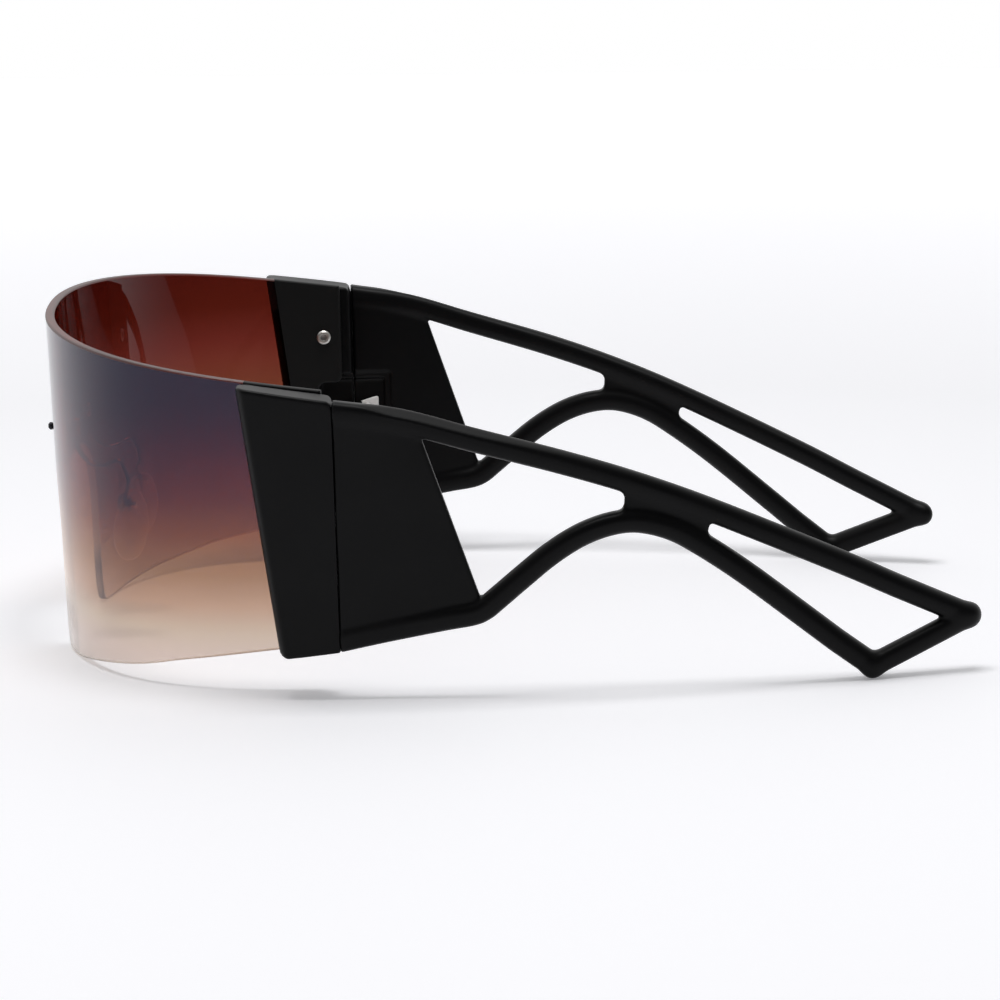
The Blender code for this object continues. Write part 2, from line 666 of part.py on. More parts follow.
def temple(finish):
    upper, foot_bar, lower = bar_routes()
    made = bar(upper, finish)
    knobs = [ball("knob", KNOB_RADIUS, (float(side(y, z)), y, z), finish) for y, z in foot_bar]
    union(made, bar(foot_bar, finish), bar(lower, finish), *knobs)

    start = (-OVERRUN, bar_start()[1])
    top = through([bar_start()] + temple_places(TOP_BAR_SHARES), EDGE_STEP)
    bottom = through(temple_places(ARCH_SHARES), EDGE_STEP)[::-1]
    panel_top = (PANEL_TOP, float(np.interp(PANEL_TOP, top[:, 0], top[:, 1])))
    panel_foot = (PANEL_FOOT, float(np.interp(PANEL_FOOT, bottom[:, 0], bottom[:, 1])))
    panel = [start] + [tuple(p) for p in top if p[0] < PANEL_TOP - RUNNING_GAP]
    panel += [tuple(p) for p in straight(panel_top, panel_foot, EDGE_STEP)] + [panel_foot]
    panel += [tuple(p) for p in bottom[::-1] if p[0] < PANEL_FOOT - OVERRUN]
    panel.append((-OVERRUN, bottom[0][1]))

    def reach(y, z):
        """0 at the parting line and 1 at the panel's rear edge."""
        edge = np.interp(z, (panel_foot[1], panel_top[1]), (PANEL_FOOT, PANEL_TOP))
        return np.clip(y / edge, 0.0, 1.0)

    def outside(y, z):
        return BAR / 2 - PANEL_RECESS - (BAR / 2 - PANEL_RECESS - PANEL_REAR_WALL / 2) * reach(y, z) ** 2

    def inside(y, z):
        return -BAR / 2 + (BAR / 2 - PANEL_REAR_WALL / 2) * reach(y, z) ** 2

    wall = side_plate("panel", panel, (EDGE_STEP, PLATE_STEP), outside, inside, finish)

    web_top, web_low = temple_places(WEB_FRONT_SHARES)
    rear_top, rear_low = temple_places(WEB_REAR_SHARES)
    web = bowed(web_low, web_top, WEB_FRONT_SAG)
    web += [tuple(p) for p in top if web_top[0] + RUNNING_GAP < p[0] < rear_top[0] - RUNNING_GAP]
    web += bowed(rear_top, rear_low, WEB_REAR_SAG)
    web += [tuple(p) for p in bottom[::-1] if web_low[0] + RUNNING_GAP < p[0] < rear_low[0] - RUNNING_GAP]

    def half_web(y, z):
        return WEB_WALL / 2 + 0 * y

    link = side_plate(
        "web", [tuple(p) for p in web], (EDGE_STEP, EDGE_STEP), half_web, lambda y, z: -half_web(y, z), finish
    )
    union(made, wall, link)
    hinge = hinge_frame()
    wide = LENS_HALF_WIDTH
    floor = AXIS_INSET + LEAF_WALL + PART_GAP
    front = block("front", (-wide, -wide, -wide), (wide, PART_GAP / 2, wide), hinge, finish)
    pocket = block(
        "pocket", (-wide, -OVERRUN, -POCKET_HALF_HEIGHT), (floor, POCKET_LENGTH, POCKET_HALF_HEIGHT), hinge, finish
    )
    return cut(made, front, pocket, *anchor_holes(1, floor, hinge, finish))


def anchor_places(toward):
    """The two anchors of a hinge leaf, as (rearwards, up). toward is 1 at the temple, -1 at the end piece."""
    along = toward * (KNUCKLE_RADIUS + LEAF_LENGTH) / 2
    return [(along, LEAF_HALF_HEIGHT / 2), (along, -LEAF_HALF_HEIGHT / 2)]


def anchor_holes(toward, floor, frame, finish):
    depth = floor + ANCHOR_LENGTH
    return [
        rod("anchor", ANCHOR_RADIUS + SEAT_GAP, 0, floor - OVERRUN, depth, frame, finish, 10, place)
        for place in anchor_places(toward)
    ]


def hinge_leaf(name, toward, knuckles, finish):
    """A pressed leaf: a plate in the moulding, its anchors, and knuckles bored for the screw."""
    frame = hinge_frame()
    clear = KNUCKLE_RADIUS + PART_GAP
    tall = LEAF_HALF_HEIGHT
    inner, outer = AXIS_INSET, AXIS_INSET + LEAF_WALL
    spans = sorted(knuckles)
    outline = [(toward * LEAF_LENGTH, -tall), (toward * clear, -tall)]
    for low, high in spans:
        outline += [(toward * clear, low), (0.0, low), (0.0, high), (toward * clear, high)]
    outline += [(toward * clear, tall), (toward * LEAF_LENGTH, tall)]
    outline = [point for k, point in enumerate(outline) if point != outline[k - 1]]
    made = prism(name, outline, 0, inner, outer, frame, finish)
    parts = [rod("knuckle", KNUCKLE_RADIUS, 2, low, high, frame, finish) for low, high in spans]
    for place in anchor_places(toward):
        middle = (inner + outer) / 2
        parts.append(rod("anchor", ANCHOR_RADIUS, 0, middle, outer + ANCHOR_LENGTH, frame, finish, 10, place))
    union(made, *parts)
    bore = HINGE_SCREW_RADIUS + RUNNING_GAP
    return cut(made, rod("bore", bore, 2, -tall - OVERRUN, tall + OVERRUN, frame, finish))


def drive(top, frame, finish):
    """The recess that a driver turns, at the top of a screw head."""
    return rod("drive", DRIVE_RADIUS, 2, top - DRIVE_DEPTH, top + OVERRUN, frame, finish, 6)


def hinge_screw(finish):
    frame = hinge_frame()
    seat = LEAF_HALF_HEIGHT + SEAT_GAP
    top = seat + HINGE_HEAD_HEIGHT
    made = rod("left_hinge_screw", HINGE_SCREW_RADIUS, 2, -LEAF_HALF_HEIGHT, seat + HINGE_HEAD_HEIGHT / 2, frame, finish)
    union(made, rod("head", HINGE_HEAD_RADIUS, 2, seat, top, frame, finish))
    return cut(made, drive(top, frame, finish))


def lens_screw(name, frame, finish):
    """Its head lies on the lens's inner face, and its shank bites into the end piece."""
    inwards = frame @ Matrix.Rotation(math.pi, 4, "X")
    seat = LENS_WALL + SEAT_GAP
    top = seat + LENS_SCREW_HEAD_HEIGHT
    made = rod(name, LENS_SCREW_RADIUS, 2, -LENS_SCREW_BITE, seat + LENS_SCREW_HEAD_HEIGHT / 2, inwards, finish)
    union(made, rod("head", LENS_SCREW_HEAD_RADIUS, 2, seat, top, inwards, finish, 20))
    return cut(made, drive(top, inwards, finish))


def stack_levels():
    """Depths behind the lens's outer face of washer, eye and nut, each as (near, far)."""
    washer = LENS_WALL + SEAT_GAP
    eye = washer + WASHER_WALL + SEAT_GAP
    nut = eye + EYE_WALL + SEAT_GAP
    return (washer, washer + WASHER_WALL), (eye, eye + EYE_WALL), (nut, nut + NUT_WALL)


def ring(name, radius, sides, levels, finish):
    """A washer or nut on the arm screw."""
    frame = arm_screw_frame()
    near, far = levels
    made = rod(name, radius, 2, -far, -near, frame, finish, sides)
    bore = ARM_SCREW_RADIUS + RUNNING_GAP
    return cut(made, rod("bore", bore, 2, -far - OVERRUN, OVERRUN, frame, finish))


def arm_screw(finish):
    frame = arm_screw_frame()
    end = stack_levels()[2][1] + SEAT_GAP
    top = SEAT_GAP + ARM_HEAD_HEIGHT
    made = rod("left_arm_screw", ARM_SCREW_RADIUS, 2, -end, SEAT_GAP + ARM_HEAD_HEIGHT / 2, frame, finish)
    return union(made, rod("head", ARM_HEAD_RADIUS, 2, SEAT_GAP, top, frame, finish))


def nose_pad_arm(finish):
    """An eye under the nut, a bent wire, and at its end the box that holds the pad."""
    eye_frame, box_frame = arm_screw_frame(), pad_frame()
    near, far = stack_levels()[1]
    made = rod("left_nose_pad_arm", EYE_RADIUS, 2, -far, -near, eye_frame, finish)
    middle = -(near + far) / 2
    first = np.array(eye_frame @ Vector((0, -EYE_RADIUS + WIRE_RADIUS, middle)))
    leave = np.array(eye_frame @ Vector((0, -EYE_RADIUS - WIRE_RADIUS, middle)))
    inset = BOX_RADIUS - WIRE_RADIUS / 2
    last = np.array(box_frame @ Vector((inset, 0, WIRE_RADIUS)))
    above = np.array(box_frame @ Vector((inset, 0, BOX_RADIUS)))
    span = above - leave
    bends = [
        (leave[0] + span[0] * back, leave[1] + span[1] * back, leave[2] + span[2] * down)
        for back, down in WIRE_SHARES
    ]
    route = through([first, leave] + bends + [above, last], WIRE_RADIUS * 3)
    normals = np.tile((1.0, 0.0, 0.0), (len(route), 1))
    wire = sweep("wire", route, normals, WIRE_RADIUS, np.full(len(route), 2.0), 8, finish)
    box = rod("box", BOX_RADIUS, 1, -BOX_HALF_WIDTH, BOX_HALF_WIDTH, box_frame, finish)
    union(made, wire, box)
    slot = TAB_HALF_WIDTH + SEAT_GAP
    tall = BOX_RADIUS + OVERRUN
    hollow = block("slot", (-tall, -slot, -tall), (TAB_RADIUS + SEAT_GAP, slot, tall), box_frame, finish)
    front = block("front", (-tall, -tall, -tall), (-BOX_FRONT, tall, tall), box_frame, finish)
    bore = PAD_SCREW_RADIUS + RUNNING_GAP
    hole = rod("hole", bore, 1, -tall, tall, box_frame, finish, 12)
    eye_bore = rod("bore", ARM_SCREW_RADIUS + RUNNING_GAP, 2, -far - OVERRUN, OVERRUN, eye_frame, finish)
    return cut(made, hollow, front, hole, eye_bore)


def pad_outline(half_width, half_height, sides):
    """An upright egg below the rocking axis, narrower at its top, as (rearwards, up)."""
    outline = []
    for k in range(sides):
        angle = 2 * math.pi * k / sides
        up = math.sin(angle)
        outline.append((half_width * math.cos(angle) * (1 - 0.12 * up), half_height * up - PAD_DROP))
    return outline


def nose_pad(finish):
    """A soft pad with a domed face, moulded round its core."""
    frame = np.array(pad_frame())

    def bulge(flat):
        share = (flat[:, 0] / PAD_HALF_WIDTH) ** 2 + ((flat[:, 1] + PAD_DROP) / PAD_HALF_HEIGHT) ** 2
        return np.clip(1 - share, 0.0, 1.0)

    def place(flat, away):
        local = np.stack([away, flat[:, 0], flat[:, 1]], -1)
        return local @ frame[:3, :3].T + frame[:3, 3]

    def back(flat):
        return place(flat, -PAD_STANDOFF - (PAD_WALL - PAD_EDGE) * 0.3 * (1 - bulge(flat)))

    def face(flat):
        return place(flat, -PAD_STANDOFF - PAD_WALL + (PAD_WALL - PAD_EDGE) * 0.7 * (1 - bulge(flat)))

    outline = pad_outline(PAD_HALF_WIDTH, PAD_HALF_HEIGHT, 24)
    made = plate("left_nose_pad", outline, (PAD_HALF_WIDTH / 2, PAD_HALF_HEIGHT / 3), back, face, finish)
    return cut(made, core_shape("cavity", SEAT_GAP, finish))


def core_shape(name, grown, finish):
    """The core's plate and tab, each grown by this much for the cavity that holds it."""
    frame = pad_frame()
    middle = -PAD_STANDOFF - PAD_WALL / 2
    outline = pad_outline(CORE_HALF_WIDTH + grown, CORE_HALF_HEIGHT + grown, 16)
    low, high = middle - CORE_WALL / 2 - grown, middle + CORE_WALL / 2 + grown
    made = prism(name, outline, 0, low, high, frame, finish)
    radius, wide = TAB_RADIUS + grown, TAB_HALF_WIDTH + grown
    tab = [(middle, -radius)] + [
        (radius * math.sin(angle), -radius * math.cos(angle)) for angle in np.linspace(0, math.pi, 9)
    ] + [(middle, radius)]
    return union(made, prism("tab", tab, 1, -wide, wide, frame, finish))


def nose_pad_core(finish):
    made = core_shape("left_nose_pad_core", 0.0, finish)
    bore = PAD_SCREW_RADIUS + RUNNING_GAP
    return cut(made, rod("bore", bore, 1, -OVERRUN, OVERRUN, pad_frame(), finish, 12))


def nose_pad_screw(finish):
    frame = pad_frame()
    seat = BOX_HALF_WIDTH + SEAT_GAP
    middle = seat + PAD_SCREW_HEAD_HEIGHT / 2
    made = rod("left_nose_pad_screw", PAD_SCREW_RADIUS, 1, -BOX_HALF_WIDTH, middle, frame, finish, 12)
    top = seat + PAD_SCREW_HEAD_HEIGHT
    return union(made, rod("head", PAD_SCREW_HEAD_RADIUS, 1, seat, top, frame, finish))


# The assembly.


def main():
    for left_over in list(bpy.data.objects):
        bpy.data.objects.remove(left_over)
    nylon = material("black_moulded_nylon", (0.008, 0.008, 0.009), 0.42)
    tinted = material("tinted_polycarbonate", (0.42, 0.22, 0.20), 0.05, transmission=0.7)
    nickel = material("nickel_plated_steel", (0.55, 0.54, 0.52), 0.28, 1.0)
    dark_steel = material("blackened_steel", (0.03, 0.03, 0.03), 0.35, 1.0)
    silicone = material("clear_silicone", (0.85, 0.82, 0.80), 0.25, transmission=0.8)
    clear = material("clear_nylon", (0.80, 0.80, 0.80), 0.3, transmission=0.6)

    washer, _, nut = stack_levels()
    tall, inner, gap = LEAF_HALF_HEIGHT, KNUCKLE_HALF, SEAT_GAP
    upper, lower = lens_screw_frames()
    sides = [
        ("front", end_piece(nylon)),
        ("temple", temple(nylon)),
        ("front", hinge_leaf("left_hinge_front_leaf", -1, [(-tall, -inner - gap), (inner + gap, tall)], nickel)),
        ("temple", hinge_leaf("left_hinge_rear_leaf", 1, [(-inner, inner)], nickel)),
        ("front", hinge_screw(nickel)),
        ("front", lens_screw("left_upper_lens_screw", upper, nickel)),
        ("front", lens_screw("left_lower_lens_screw", lower, nickel)),
        ("front", arm_screw(dark_steel)),
        ("front", ring("left_arm_washer", WASHER_RADIUS, 16, washer, clear)),
        ("front", ring("left_arm_nut", NUT_RADIUS, 6, nut, nickel)),
        ("front", nose_pad_arm(nickel)),
        ("front", nose_pad_screw(nickel)),
        ("pad", nose_pad(silicone)),
        ("pad", nose_pad_core(clear)),
    ]
    pieces = [("front", shield_lens(tinted))]
    for group, made in sides:
        pieces.append((group if group == "front" else "left_" + group, made))
        right = mirrored(made, made.name.replace("left_", "right_"))
        pieces.append((group if group == "front" else "right_" + group, right))

    # The origin moves from the hinge line to the middle of the whole part's depth.
    tip_end = TEMPLE_REACH + KNOB_RADIUS
    middle = Matrix.Translation((0.0, (LENS_DEPTH - tip_end) / 2, 0.0))
    hinge, pad = middle @ hinge_frame(), middle @ pad_frame()
    pivots = {
        "front": pivot("front", Matrix.Identity(4)),
        "left_temple": pivot("left_temple_pivot", hinge),
        "right_temple": pivot("right_temple_pivot", mirrored_frame(hinge)),
        "left_pad": pivot("left_pad_pivot", pad),
        "right_pad": pivot("right_pad_pivot", mirrored_frame(pad)),
    }
    for group, made in pieces:
        made.data.transform(pivots[group].matrix_world.inverted() @ middle)
        made.parent = pivots[group]
        made.data.shade_smooth()
        made.data.set_sharp_from_angle(angle=math.radians(35))
    for name, empty in pivots.items():
        place, axis = empty.matrix_world.translation, empty.matrix_world.to_3x3()
        print(name, "at", tuple(round(v, 5) for v in place), "up", tuple(round(v, 5) for v in axis.col[2]),
              "rear", tuple(round(v, 5) for v in axis.col[1]))


main()
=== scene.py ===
# %% [markdown]
# # Wrap-around shield sunglasses
# The real pair is one curved lens with a block screwed to each of its rear ends, two moulded
# temples that fold on metal hinges, and two clear pads on bent wires for the nose. The packed
# CAD model says where every piece is and how it moves. This script gives each piece its finished
# shape and surface, then sets the floor, the light and the camera.

import json
import math

import bpy
import numpy as np
from mathutils import Matrix, Vector
from mathutils.geometry import delaunay_2d_cdt

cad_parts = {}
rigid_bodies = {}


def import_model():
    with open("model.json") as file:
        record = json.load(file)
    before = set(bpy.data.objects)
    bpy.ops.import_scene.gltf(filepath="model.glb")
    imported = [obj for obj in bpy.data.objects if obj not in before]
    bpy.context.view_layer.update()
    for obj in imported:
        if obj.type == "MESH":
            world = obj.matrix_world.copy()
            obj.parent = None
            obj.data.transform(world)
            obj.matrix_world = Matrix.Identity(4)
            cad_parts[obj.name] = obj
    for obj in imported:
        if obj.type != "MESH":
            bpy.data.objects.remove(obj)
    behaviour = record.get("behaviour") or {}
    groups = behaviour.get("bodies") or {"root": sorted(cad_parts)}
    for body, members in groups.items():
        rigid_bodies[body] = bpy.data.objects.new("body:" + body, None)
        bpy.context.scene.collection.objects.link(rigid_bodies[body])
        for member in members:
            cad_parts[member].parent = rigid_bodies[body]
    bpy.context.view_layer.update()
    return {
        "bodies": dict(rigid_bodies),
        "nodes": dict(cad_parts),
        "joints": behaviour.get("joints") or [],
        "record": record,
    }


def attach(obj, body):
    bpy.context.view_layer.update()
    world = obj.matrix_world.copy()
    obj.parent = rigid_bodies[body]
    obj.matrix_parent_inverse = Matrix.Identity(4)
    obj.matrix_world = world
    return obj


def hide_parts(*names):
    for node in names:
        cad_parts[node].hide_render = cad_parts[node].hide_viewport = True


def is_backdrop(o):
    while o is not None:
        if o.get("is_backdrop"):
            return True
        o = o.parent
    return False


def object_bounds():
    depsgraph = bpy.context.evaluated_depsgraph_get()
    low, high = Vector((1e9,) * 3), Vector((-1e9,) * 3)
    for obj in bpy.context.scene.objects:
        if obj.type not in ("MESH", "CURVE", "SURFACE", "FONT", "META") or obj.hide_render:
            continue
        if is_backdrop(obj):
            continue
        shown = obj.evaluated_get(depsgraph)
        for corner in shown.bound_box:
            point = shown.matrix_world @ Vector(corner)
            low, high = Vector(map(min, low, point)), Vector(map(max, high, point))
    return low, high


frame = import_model()

# %% [markdown]
# ## Sizes
# Every size below is in millimetres and comes from the CAD source, so that each piece lies on
# the solid that it stands for. y is measured from the line where end piece and temple meet, and
# MIDDLE moves it to the model's own origin when a mesh is made.

# %% Sizes shared by several pieces
MM = 0.001
MIDDLE = -31.95
LENS_HALF_WIDTH, LENS_DEPTH, LENS_HEIGHT, LENS_WALL = 65.5, 57.4, 64.2, 1.8
LENS_SIDE_POWER, LENS_FRONT_POWER, LENS_DEPTH_TAPER = 2.2, 3.06, 0.04
BROW_HEIGHT, SIDE_DROP = 57.3, 0.5
SIDE_SLOPE, PARTING_SLOPE = math.tan(math.radians(5.0)), math.tan(math.radians(1.07))
SIDE_OFFSET, END_CURVE, END_LENGTH = 5.7, 2.27, 17.6
BAR, TEMPLE_REACH, TEMPLE_TOE, TEMPLE_BOW, LEAN_FADE = 4.4, 118.9, 5.9, 16.1, 60.0
HINGE_HEIGHT, AXIS_INSET = 29.2, 0.7
PART_GAP, SEAT_GAP = 0.3, 0.15

# %% [markdown]
# ## Making a mesh
# A piece arrives as an array of points and an array of four-sided faces. foreach_set puts both
# into the mesh in one go. The object stays at the origin, unturned and unscaled, because a
# pattern on Object coordinates then lies still when the temple folds.

# %% A mesh from arrays


def new_object(name, data):
    """An object at the origin, in the scene."""
    made = bpy.data.objects.new(name, data)
    bpy.context.scene.collection.objects.link(made)
    return made


def lay_mesh(name, points, faces, finish):
    """A smooth mesh from points in mm, moved to the model's origin. Faces ending in -1 are triangles."""
    mesh = bpy.data.meshes.new(name)
    counts = (faces >= 0).sum(-1)
    corners = faces[faces >= 0]
    mesh.vertices.add(len(points))
    mesh.vertices.foreach_set("co", ((points + (0.0, MIDDLE, 0.0)) * MM).ravel())
    mesh.loops.add(len(corners))
    mesh.loops.foreach_set("vertex_index", corners)
    mesh.polygons.add(len(faces))
    mesh.polygons.foreach_set("loop_start", np.cumsum(counts) - counts)
    mesh.update(calc_edges=True)
    mesh.validate()
    mesh.shade_smooth()
    mesh.materials.append(finish)
    return new_object(name, mesh)


def turned_back(faces):
    """The same faces with their corners in the other order, so that they look the other way."""
    back = faces[:, ::-1]
    return np.where(faces[:, -1:] < 0, np.roll(back, -1, axis=1), back)


def dress(piece, body, node):
    """The piece rides on a body and stands for a CAD node, which is hidden."""
    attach(piece, body)
    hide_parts(node)


def lay_pair(node, shape, body, finish):
    """The wearer's left piece, and its mirror image with its faces turned back outwards."""
    (points, faces), pieces = shape, []
    for side_name, sign in (("left", 1), ("right", -1)):
        turned_faces = faces if sign > 0 else turned_back(faces)
        piece = lay_mesh(f"{side_name}_{node}_skin", points * (sign, 1, 1), turned_faces, finish)
        home = body if body == "front" else f"{side_name}_{body}"
        dress(piece, home, f"{side_name}_{node}")
        pieces.append(piece)
    print(node, len(faces), "faces a side")
    return pieces


def more_finishes(piece, finishes, kinds):
    """Gives each face the finish with its number: 0 is the piece's first one."""
    for finish in finishes:
        piece.data.materials.append(finish)
    piece.data.polygons.foreach_set("material_index", kinds.astype(np.int32))


# %% [markdown]
# ## Skin over a formula
# A temple is bars, a thin panel and a web that run into each other with small fillets, and no
# single sheet of points covers that. So each moulded piece is written as a formula that is below
# zero inside the plastic. The formula is worked out on a block of grid points, as one array, and
# a point is set in every small cell that the surface passes through. The points are then pulled
# exactly onto the surface, which keeps the reflections free of steps.

# %% Blending two formulas


def joined(a, b, fillet):
    """The lower of two fields, with a hollow fillet of about this size where they meet."""
    share = np.clip(0.5 + 0.5 * (b - a) / fillet, 0.0, 1.0)
    return b + (a - b) * share - fillet * share * (1 - share)


def common(a, b, rounding):
    """The higher of two fields, which is where both are filled, with its edge rounded."""
    return -joined(-a, -b, rounding)


# %% Distances to a line and to an outline
AT_A_TIME = 20000


def in_batches(formula, *at):
    """Runs a formula on rows of places, so many at a time, and keeps the shape of what comes in."""
    at = np.broadcast_arrays(*at)
    places = np.stack([values.ravel() for values in at], -1).astype(np.float32)
    found = [formula(places[k : k + AT_A_TIME, None]) for k in range(0, len(places), AT_A_TIME)]
    return np.concatenate(found).reshape(at[0].shape)


def line_distance(line, *at):
    """Distance to the nearest stretch of a line: the offset less its own share along that stretch."""
    start, along = np.float32(line[:-1]), np.float32(line[1:] - line[:-1])

    def nearest(places):
        offset = places - start
        share = np.clip((offset * along).sum(-1) / (along**2).sum(-1), 0.0, 1.0)
        return np.sqrt(((offset - share[..., None] * along) ** 2).sum(-1).min(-1))

    return in_batches(nearest, *at)


def outline_distance(outline, y, z):
    """Distance to a closed outline, below zero where a ray crosses it an odd number of times."""
    closed = np.vstack([outline, outline[:1]])
    a, b = np.float32(closed[:-1]), np.float32(closed[1:])
    rise = np.where(b[:, 1] == a[:, 1], 1.0, b[:, 1] - a[:, 1])

    def odd(places):
        spans = (a[:, 1] > places[..., 1]) != (b[:, 1] > places[..., 1])
        meets = a[:, 0] + (places[..., 1] - a[:, 1]) * (b[:, 0] - a[:, 0]) / rise
        return (spans & (places[..., 0] < meets)).sum(-1) % 2 == 1

    away = line_distance(closed, y, z)
    return np.where(in_batches(odd, y, z), -away, away)


# %% The skin itself


def spaced(low, high, step):
    return np.linspace(low, high, max(2, round((high - low) / step)) + 1)


NEWTON_STEPS, NUDGE = 3, 0.02


def skin(field, axes):
    """Points and quads of the surface where field(a, b, c) is zero, on a block with these three axes.

    Each cell that the surface crosses gets one point, the mean of the crossings on its edges.
    Each grid edge that is crossed gives one quad between the four cells round it. The points
    then take Newton steps: back along the slope by the field's value over the slope's square. The
    second step uses the first one's slope again.
    """
    shape = tuple(len(axis) for axis in axes)
    value = np.array(np.broadcast_to(field(*np.meshgrid(*axes, indexing="ij", sparse=True)), shape))
    grid = np.stack(np.meshgrid(*axes, indexing="ij"), -1)
    cells = tuple(count - 1 for count in shape)
    total, hits = np.zeros(cells + (3,)), np.zeros(cells, int)
    orders = [(0, 1, 2), (1, 2, 0), (2, 0, 1)]
    for order in orders:
        turned, spots = value.transpose(order), grid.transpose(*order, 3)[:-1].copy()
        near, far = turned[:-1], turned[1:]
        crossed = (near < 0) != (far < 0)
        share = np.where(crossed, near, 0.0) / np.where(crossed, near - far, 1.0)
        spots[..., order[0]] += share * np.diff(axes[order[0]])[:, None, None]
        for b in (0, 1):
            for c in (0, 1):
                window = (slice(None), slice(b, near.shape[1] - 1 + b), slice(c, near.shape[2] - 1 + c))
                total.transpose(*order, 3)[...] += spots[window] * crossed[window][..., None]
                hits.transpose(order)[...] += crossed[window]
    used = hits > 0
    index = np.full(cells, -1)
    index[used] = np.arange(used.sum())
    points = total[used] / hits[used][:, None]
    quads = []
    for order in orders:
        turned, cell = value.transpose(order), index.transpose(order)
        near, far = turned[:-1, 1:-1, 1:-1], turned[1:, 1:-1, 1:-1]
        crossed = (near < 0) != (far < 0)
        ring = np.stack([cell[:, :-1, :-1], cell[:, 1:, :-1], cell[:, 1:, 1:], cell[:, :-1, 1:]], -1)
        found = ring[crossed]
        quads.append(np.where((near < 0)[crossed][:, None], found, found[:, ::-1]))
    reach = 0.4 * min(np.diff(axis).min() for axis in axes)
    for step in range(NEWTON_STEPS):
        now = field(*points.T)
        if step != 1:
            ahead = [field(*(points + NUDGE * axis).T) for axis in np.eye(3)]
            slope = np.stack([(value - now) / NUDGE for value in ahead], -1)
        move = slope * (now / np.maximum((slope**2).sum(-1), 0.05))[:, None]
        size = np.linalg.norm(move, axis=-1, keepdims=True)
        points = points - move * np.minimum(1.0, reach / np.maximum(size, 1e-9))
    return points, np.concatenate(quads)


# %% [markdown]
# ## Curves through chosen places
# The bars follow the same places as the CAD solids. A Catmull-Rom curve passes
# through every place and leaves it in the direction between its two neighbours.

# %% Curve and arc helpers


def smoothstep(share):
    share = np.clip(share, 0.0, 1.0)
    return share * share * (3 - 2 * share)


def through(places, pieces=8):
    """Catmull-Rom: b + half of (c-a)t + (2a-5b+4c-d)t^2 + (3b-a-3c+d)t^3 between b and c."""
    places = np.array(places, float)
    ends = np.vstack([2 * places[0] - places[1], places, 2 * places[-1] - places[-2]])
    a, b, c, d = (ends[k : len(ends) - 3 + k, None] for k in range(4))
    t = (np.arange(pieces) / pieces)[:, None]
    square, cube = 2 * a - 5 * b + 4 * c - d, 3 * b - a - 3 * c + d
    curve = b + 0.5 * ((c - a) * t + square * t**2 + cube * t**3)
    return np.vstack([curve.reshape(-1, places.shape[1]), places[-1:]])


def rounded_corner(a, v, b, radius, pieces=6):
    """The arc of this radius that rounds the corner v between a and b."""
    a, v, b = (np.array(point, float) for point in (a, v, b))
    to_a, to_b = (a - v) / np.linalg.norm(a - v), (b - v) / np.linalg.norm(b - v)
    half = 0.5 * math.acos(to_a @ to_b)
    middle = (to_a + to_b) / np.linalg.norm(to_a + to_b)
    centre = v + middle * radius / math.sin(half)
    start, end = (v + way * radius / math.tan(half) - centre for way in (to_a, to_b))
    turn = math.pi - 2 * half
    share = np.linspace(0.0, 1.0, pieces)[:, None]
    return centre + (start * np.sin((1 - share) * turn) + end * np.sin(share * turn)) / math.sin(turn)


# %% [markdown]
# ## The side wall
# Seen from above, end piece and temple share one gently bowed wall. It leans out 5 degrees at the
# hinge and stands upright past the middle of the temple. side() gives the middle of its thickness.

# %% The middle surface of end piece and temple
TOP_BAR_SHARES = (
    (0.105, 0.920), (0.220, 0.850), (0.359, 0.766), (0.473, 0.686),
    (0.594, 0.584), (0.785, 0.402), (0.882, 0.303),
)
ARCH_SHARES = (
    (0.785, 0.136), (0.737, 0.217), (0.641, 0.377), (0.570, 0.482), (0.523, 0.538),
    (0.473, 0.567), (0.429, 0.562), (0.382, 0.529), (0.335, 0.470), (0.289, 0.393),
    (0.250, 0.324), (0.232, 0.294), (0.212, 0.277), (0.169, 0.262), (0.077, 0.225),
    (0.013, 0.197),
)
BAR_START = (0.0, BROW_HEIGHT - SIDE_DROP - BAR / 2)
top_places = np.vstack([BAR_START, np.array(TOP_BAR_SHARES) * (TEMPLE_REACH, BROW_HEIGHT)])
arch_places = np.array(ARCH_SHARES) * (TEMPLE_REACH, BROW_HEIGHT)


def parting_y(z):
    return PARTING_SLOPE * (BROW_HEIGHT - z)


def side(y, z):
    """Half width, less toe-in, bow and the front's own curve, less the lean below the top bar."""
    behind, ahead = np.maximum(y, 0.0) / TEMPLE_REACH, np.minimum(y, 0.0) / END_LENGTH
    base = LENS_HALF_WIDTH + SIDE_OFFSET - TEMPLE_TOE * behind
    base = base - TEMPLE_BOW * behind**2 - END_CURVE * ahead**2
    below = np.interp(y, top_places[:, 0], top_places[:, 1]) - z
    return base - SIDE_SLOPE * (1 - smoothstep(y / LEAN_FADE)) * below


def on_wall(points):
    """From (distance out of the wall's middle, y, z) to (x, y, z)."""
    w, y, z = points.T
    return np.stack([side(y, z) + w, y, z], -1)


def wall_slope(y):
    """How much the wall's x changes with y: the slopes of the toe-in, the bow and the front's curve."""
    behind, ahead = np.maximum(y, 0.0), np.minimum(y, 0.0)
    bow, front_curve = TEMPLE_BOW / TEMPLE_REACH**2, END_CURVE / END_LENGTH**2
    return -TEMPLE_TOE / TEMPLE_REACH * (y > 0) - 2 * (bow * behind + front_curve * ahead)


def hinge_frame():
    """X outwards, Y to the rear and Z up along the hinge's axis, in mm."""
    y = parting_y(HINGE_HEIGHT)
    up = Vector((SIDE_SLOPE, -PARTING_SLOPE, 1)).normalized()
    rear = (Vector((0, 1, 0)) - up * up.y).normalized()
    turned = Matrix((rear.cross(up), rear, up)).transposed().to_4x4()
    turned.translation = Vector((float(side(y, HINGE_HEIGHT)) - BAR / 2 - AXIS_INSET, y, HINGE_HEIGHT))
    return np.array(turned)


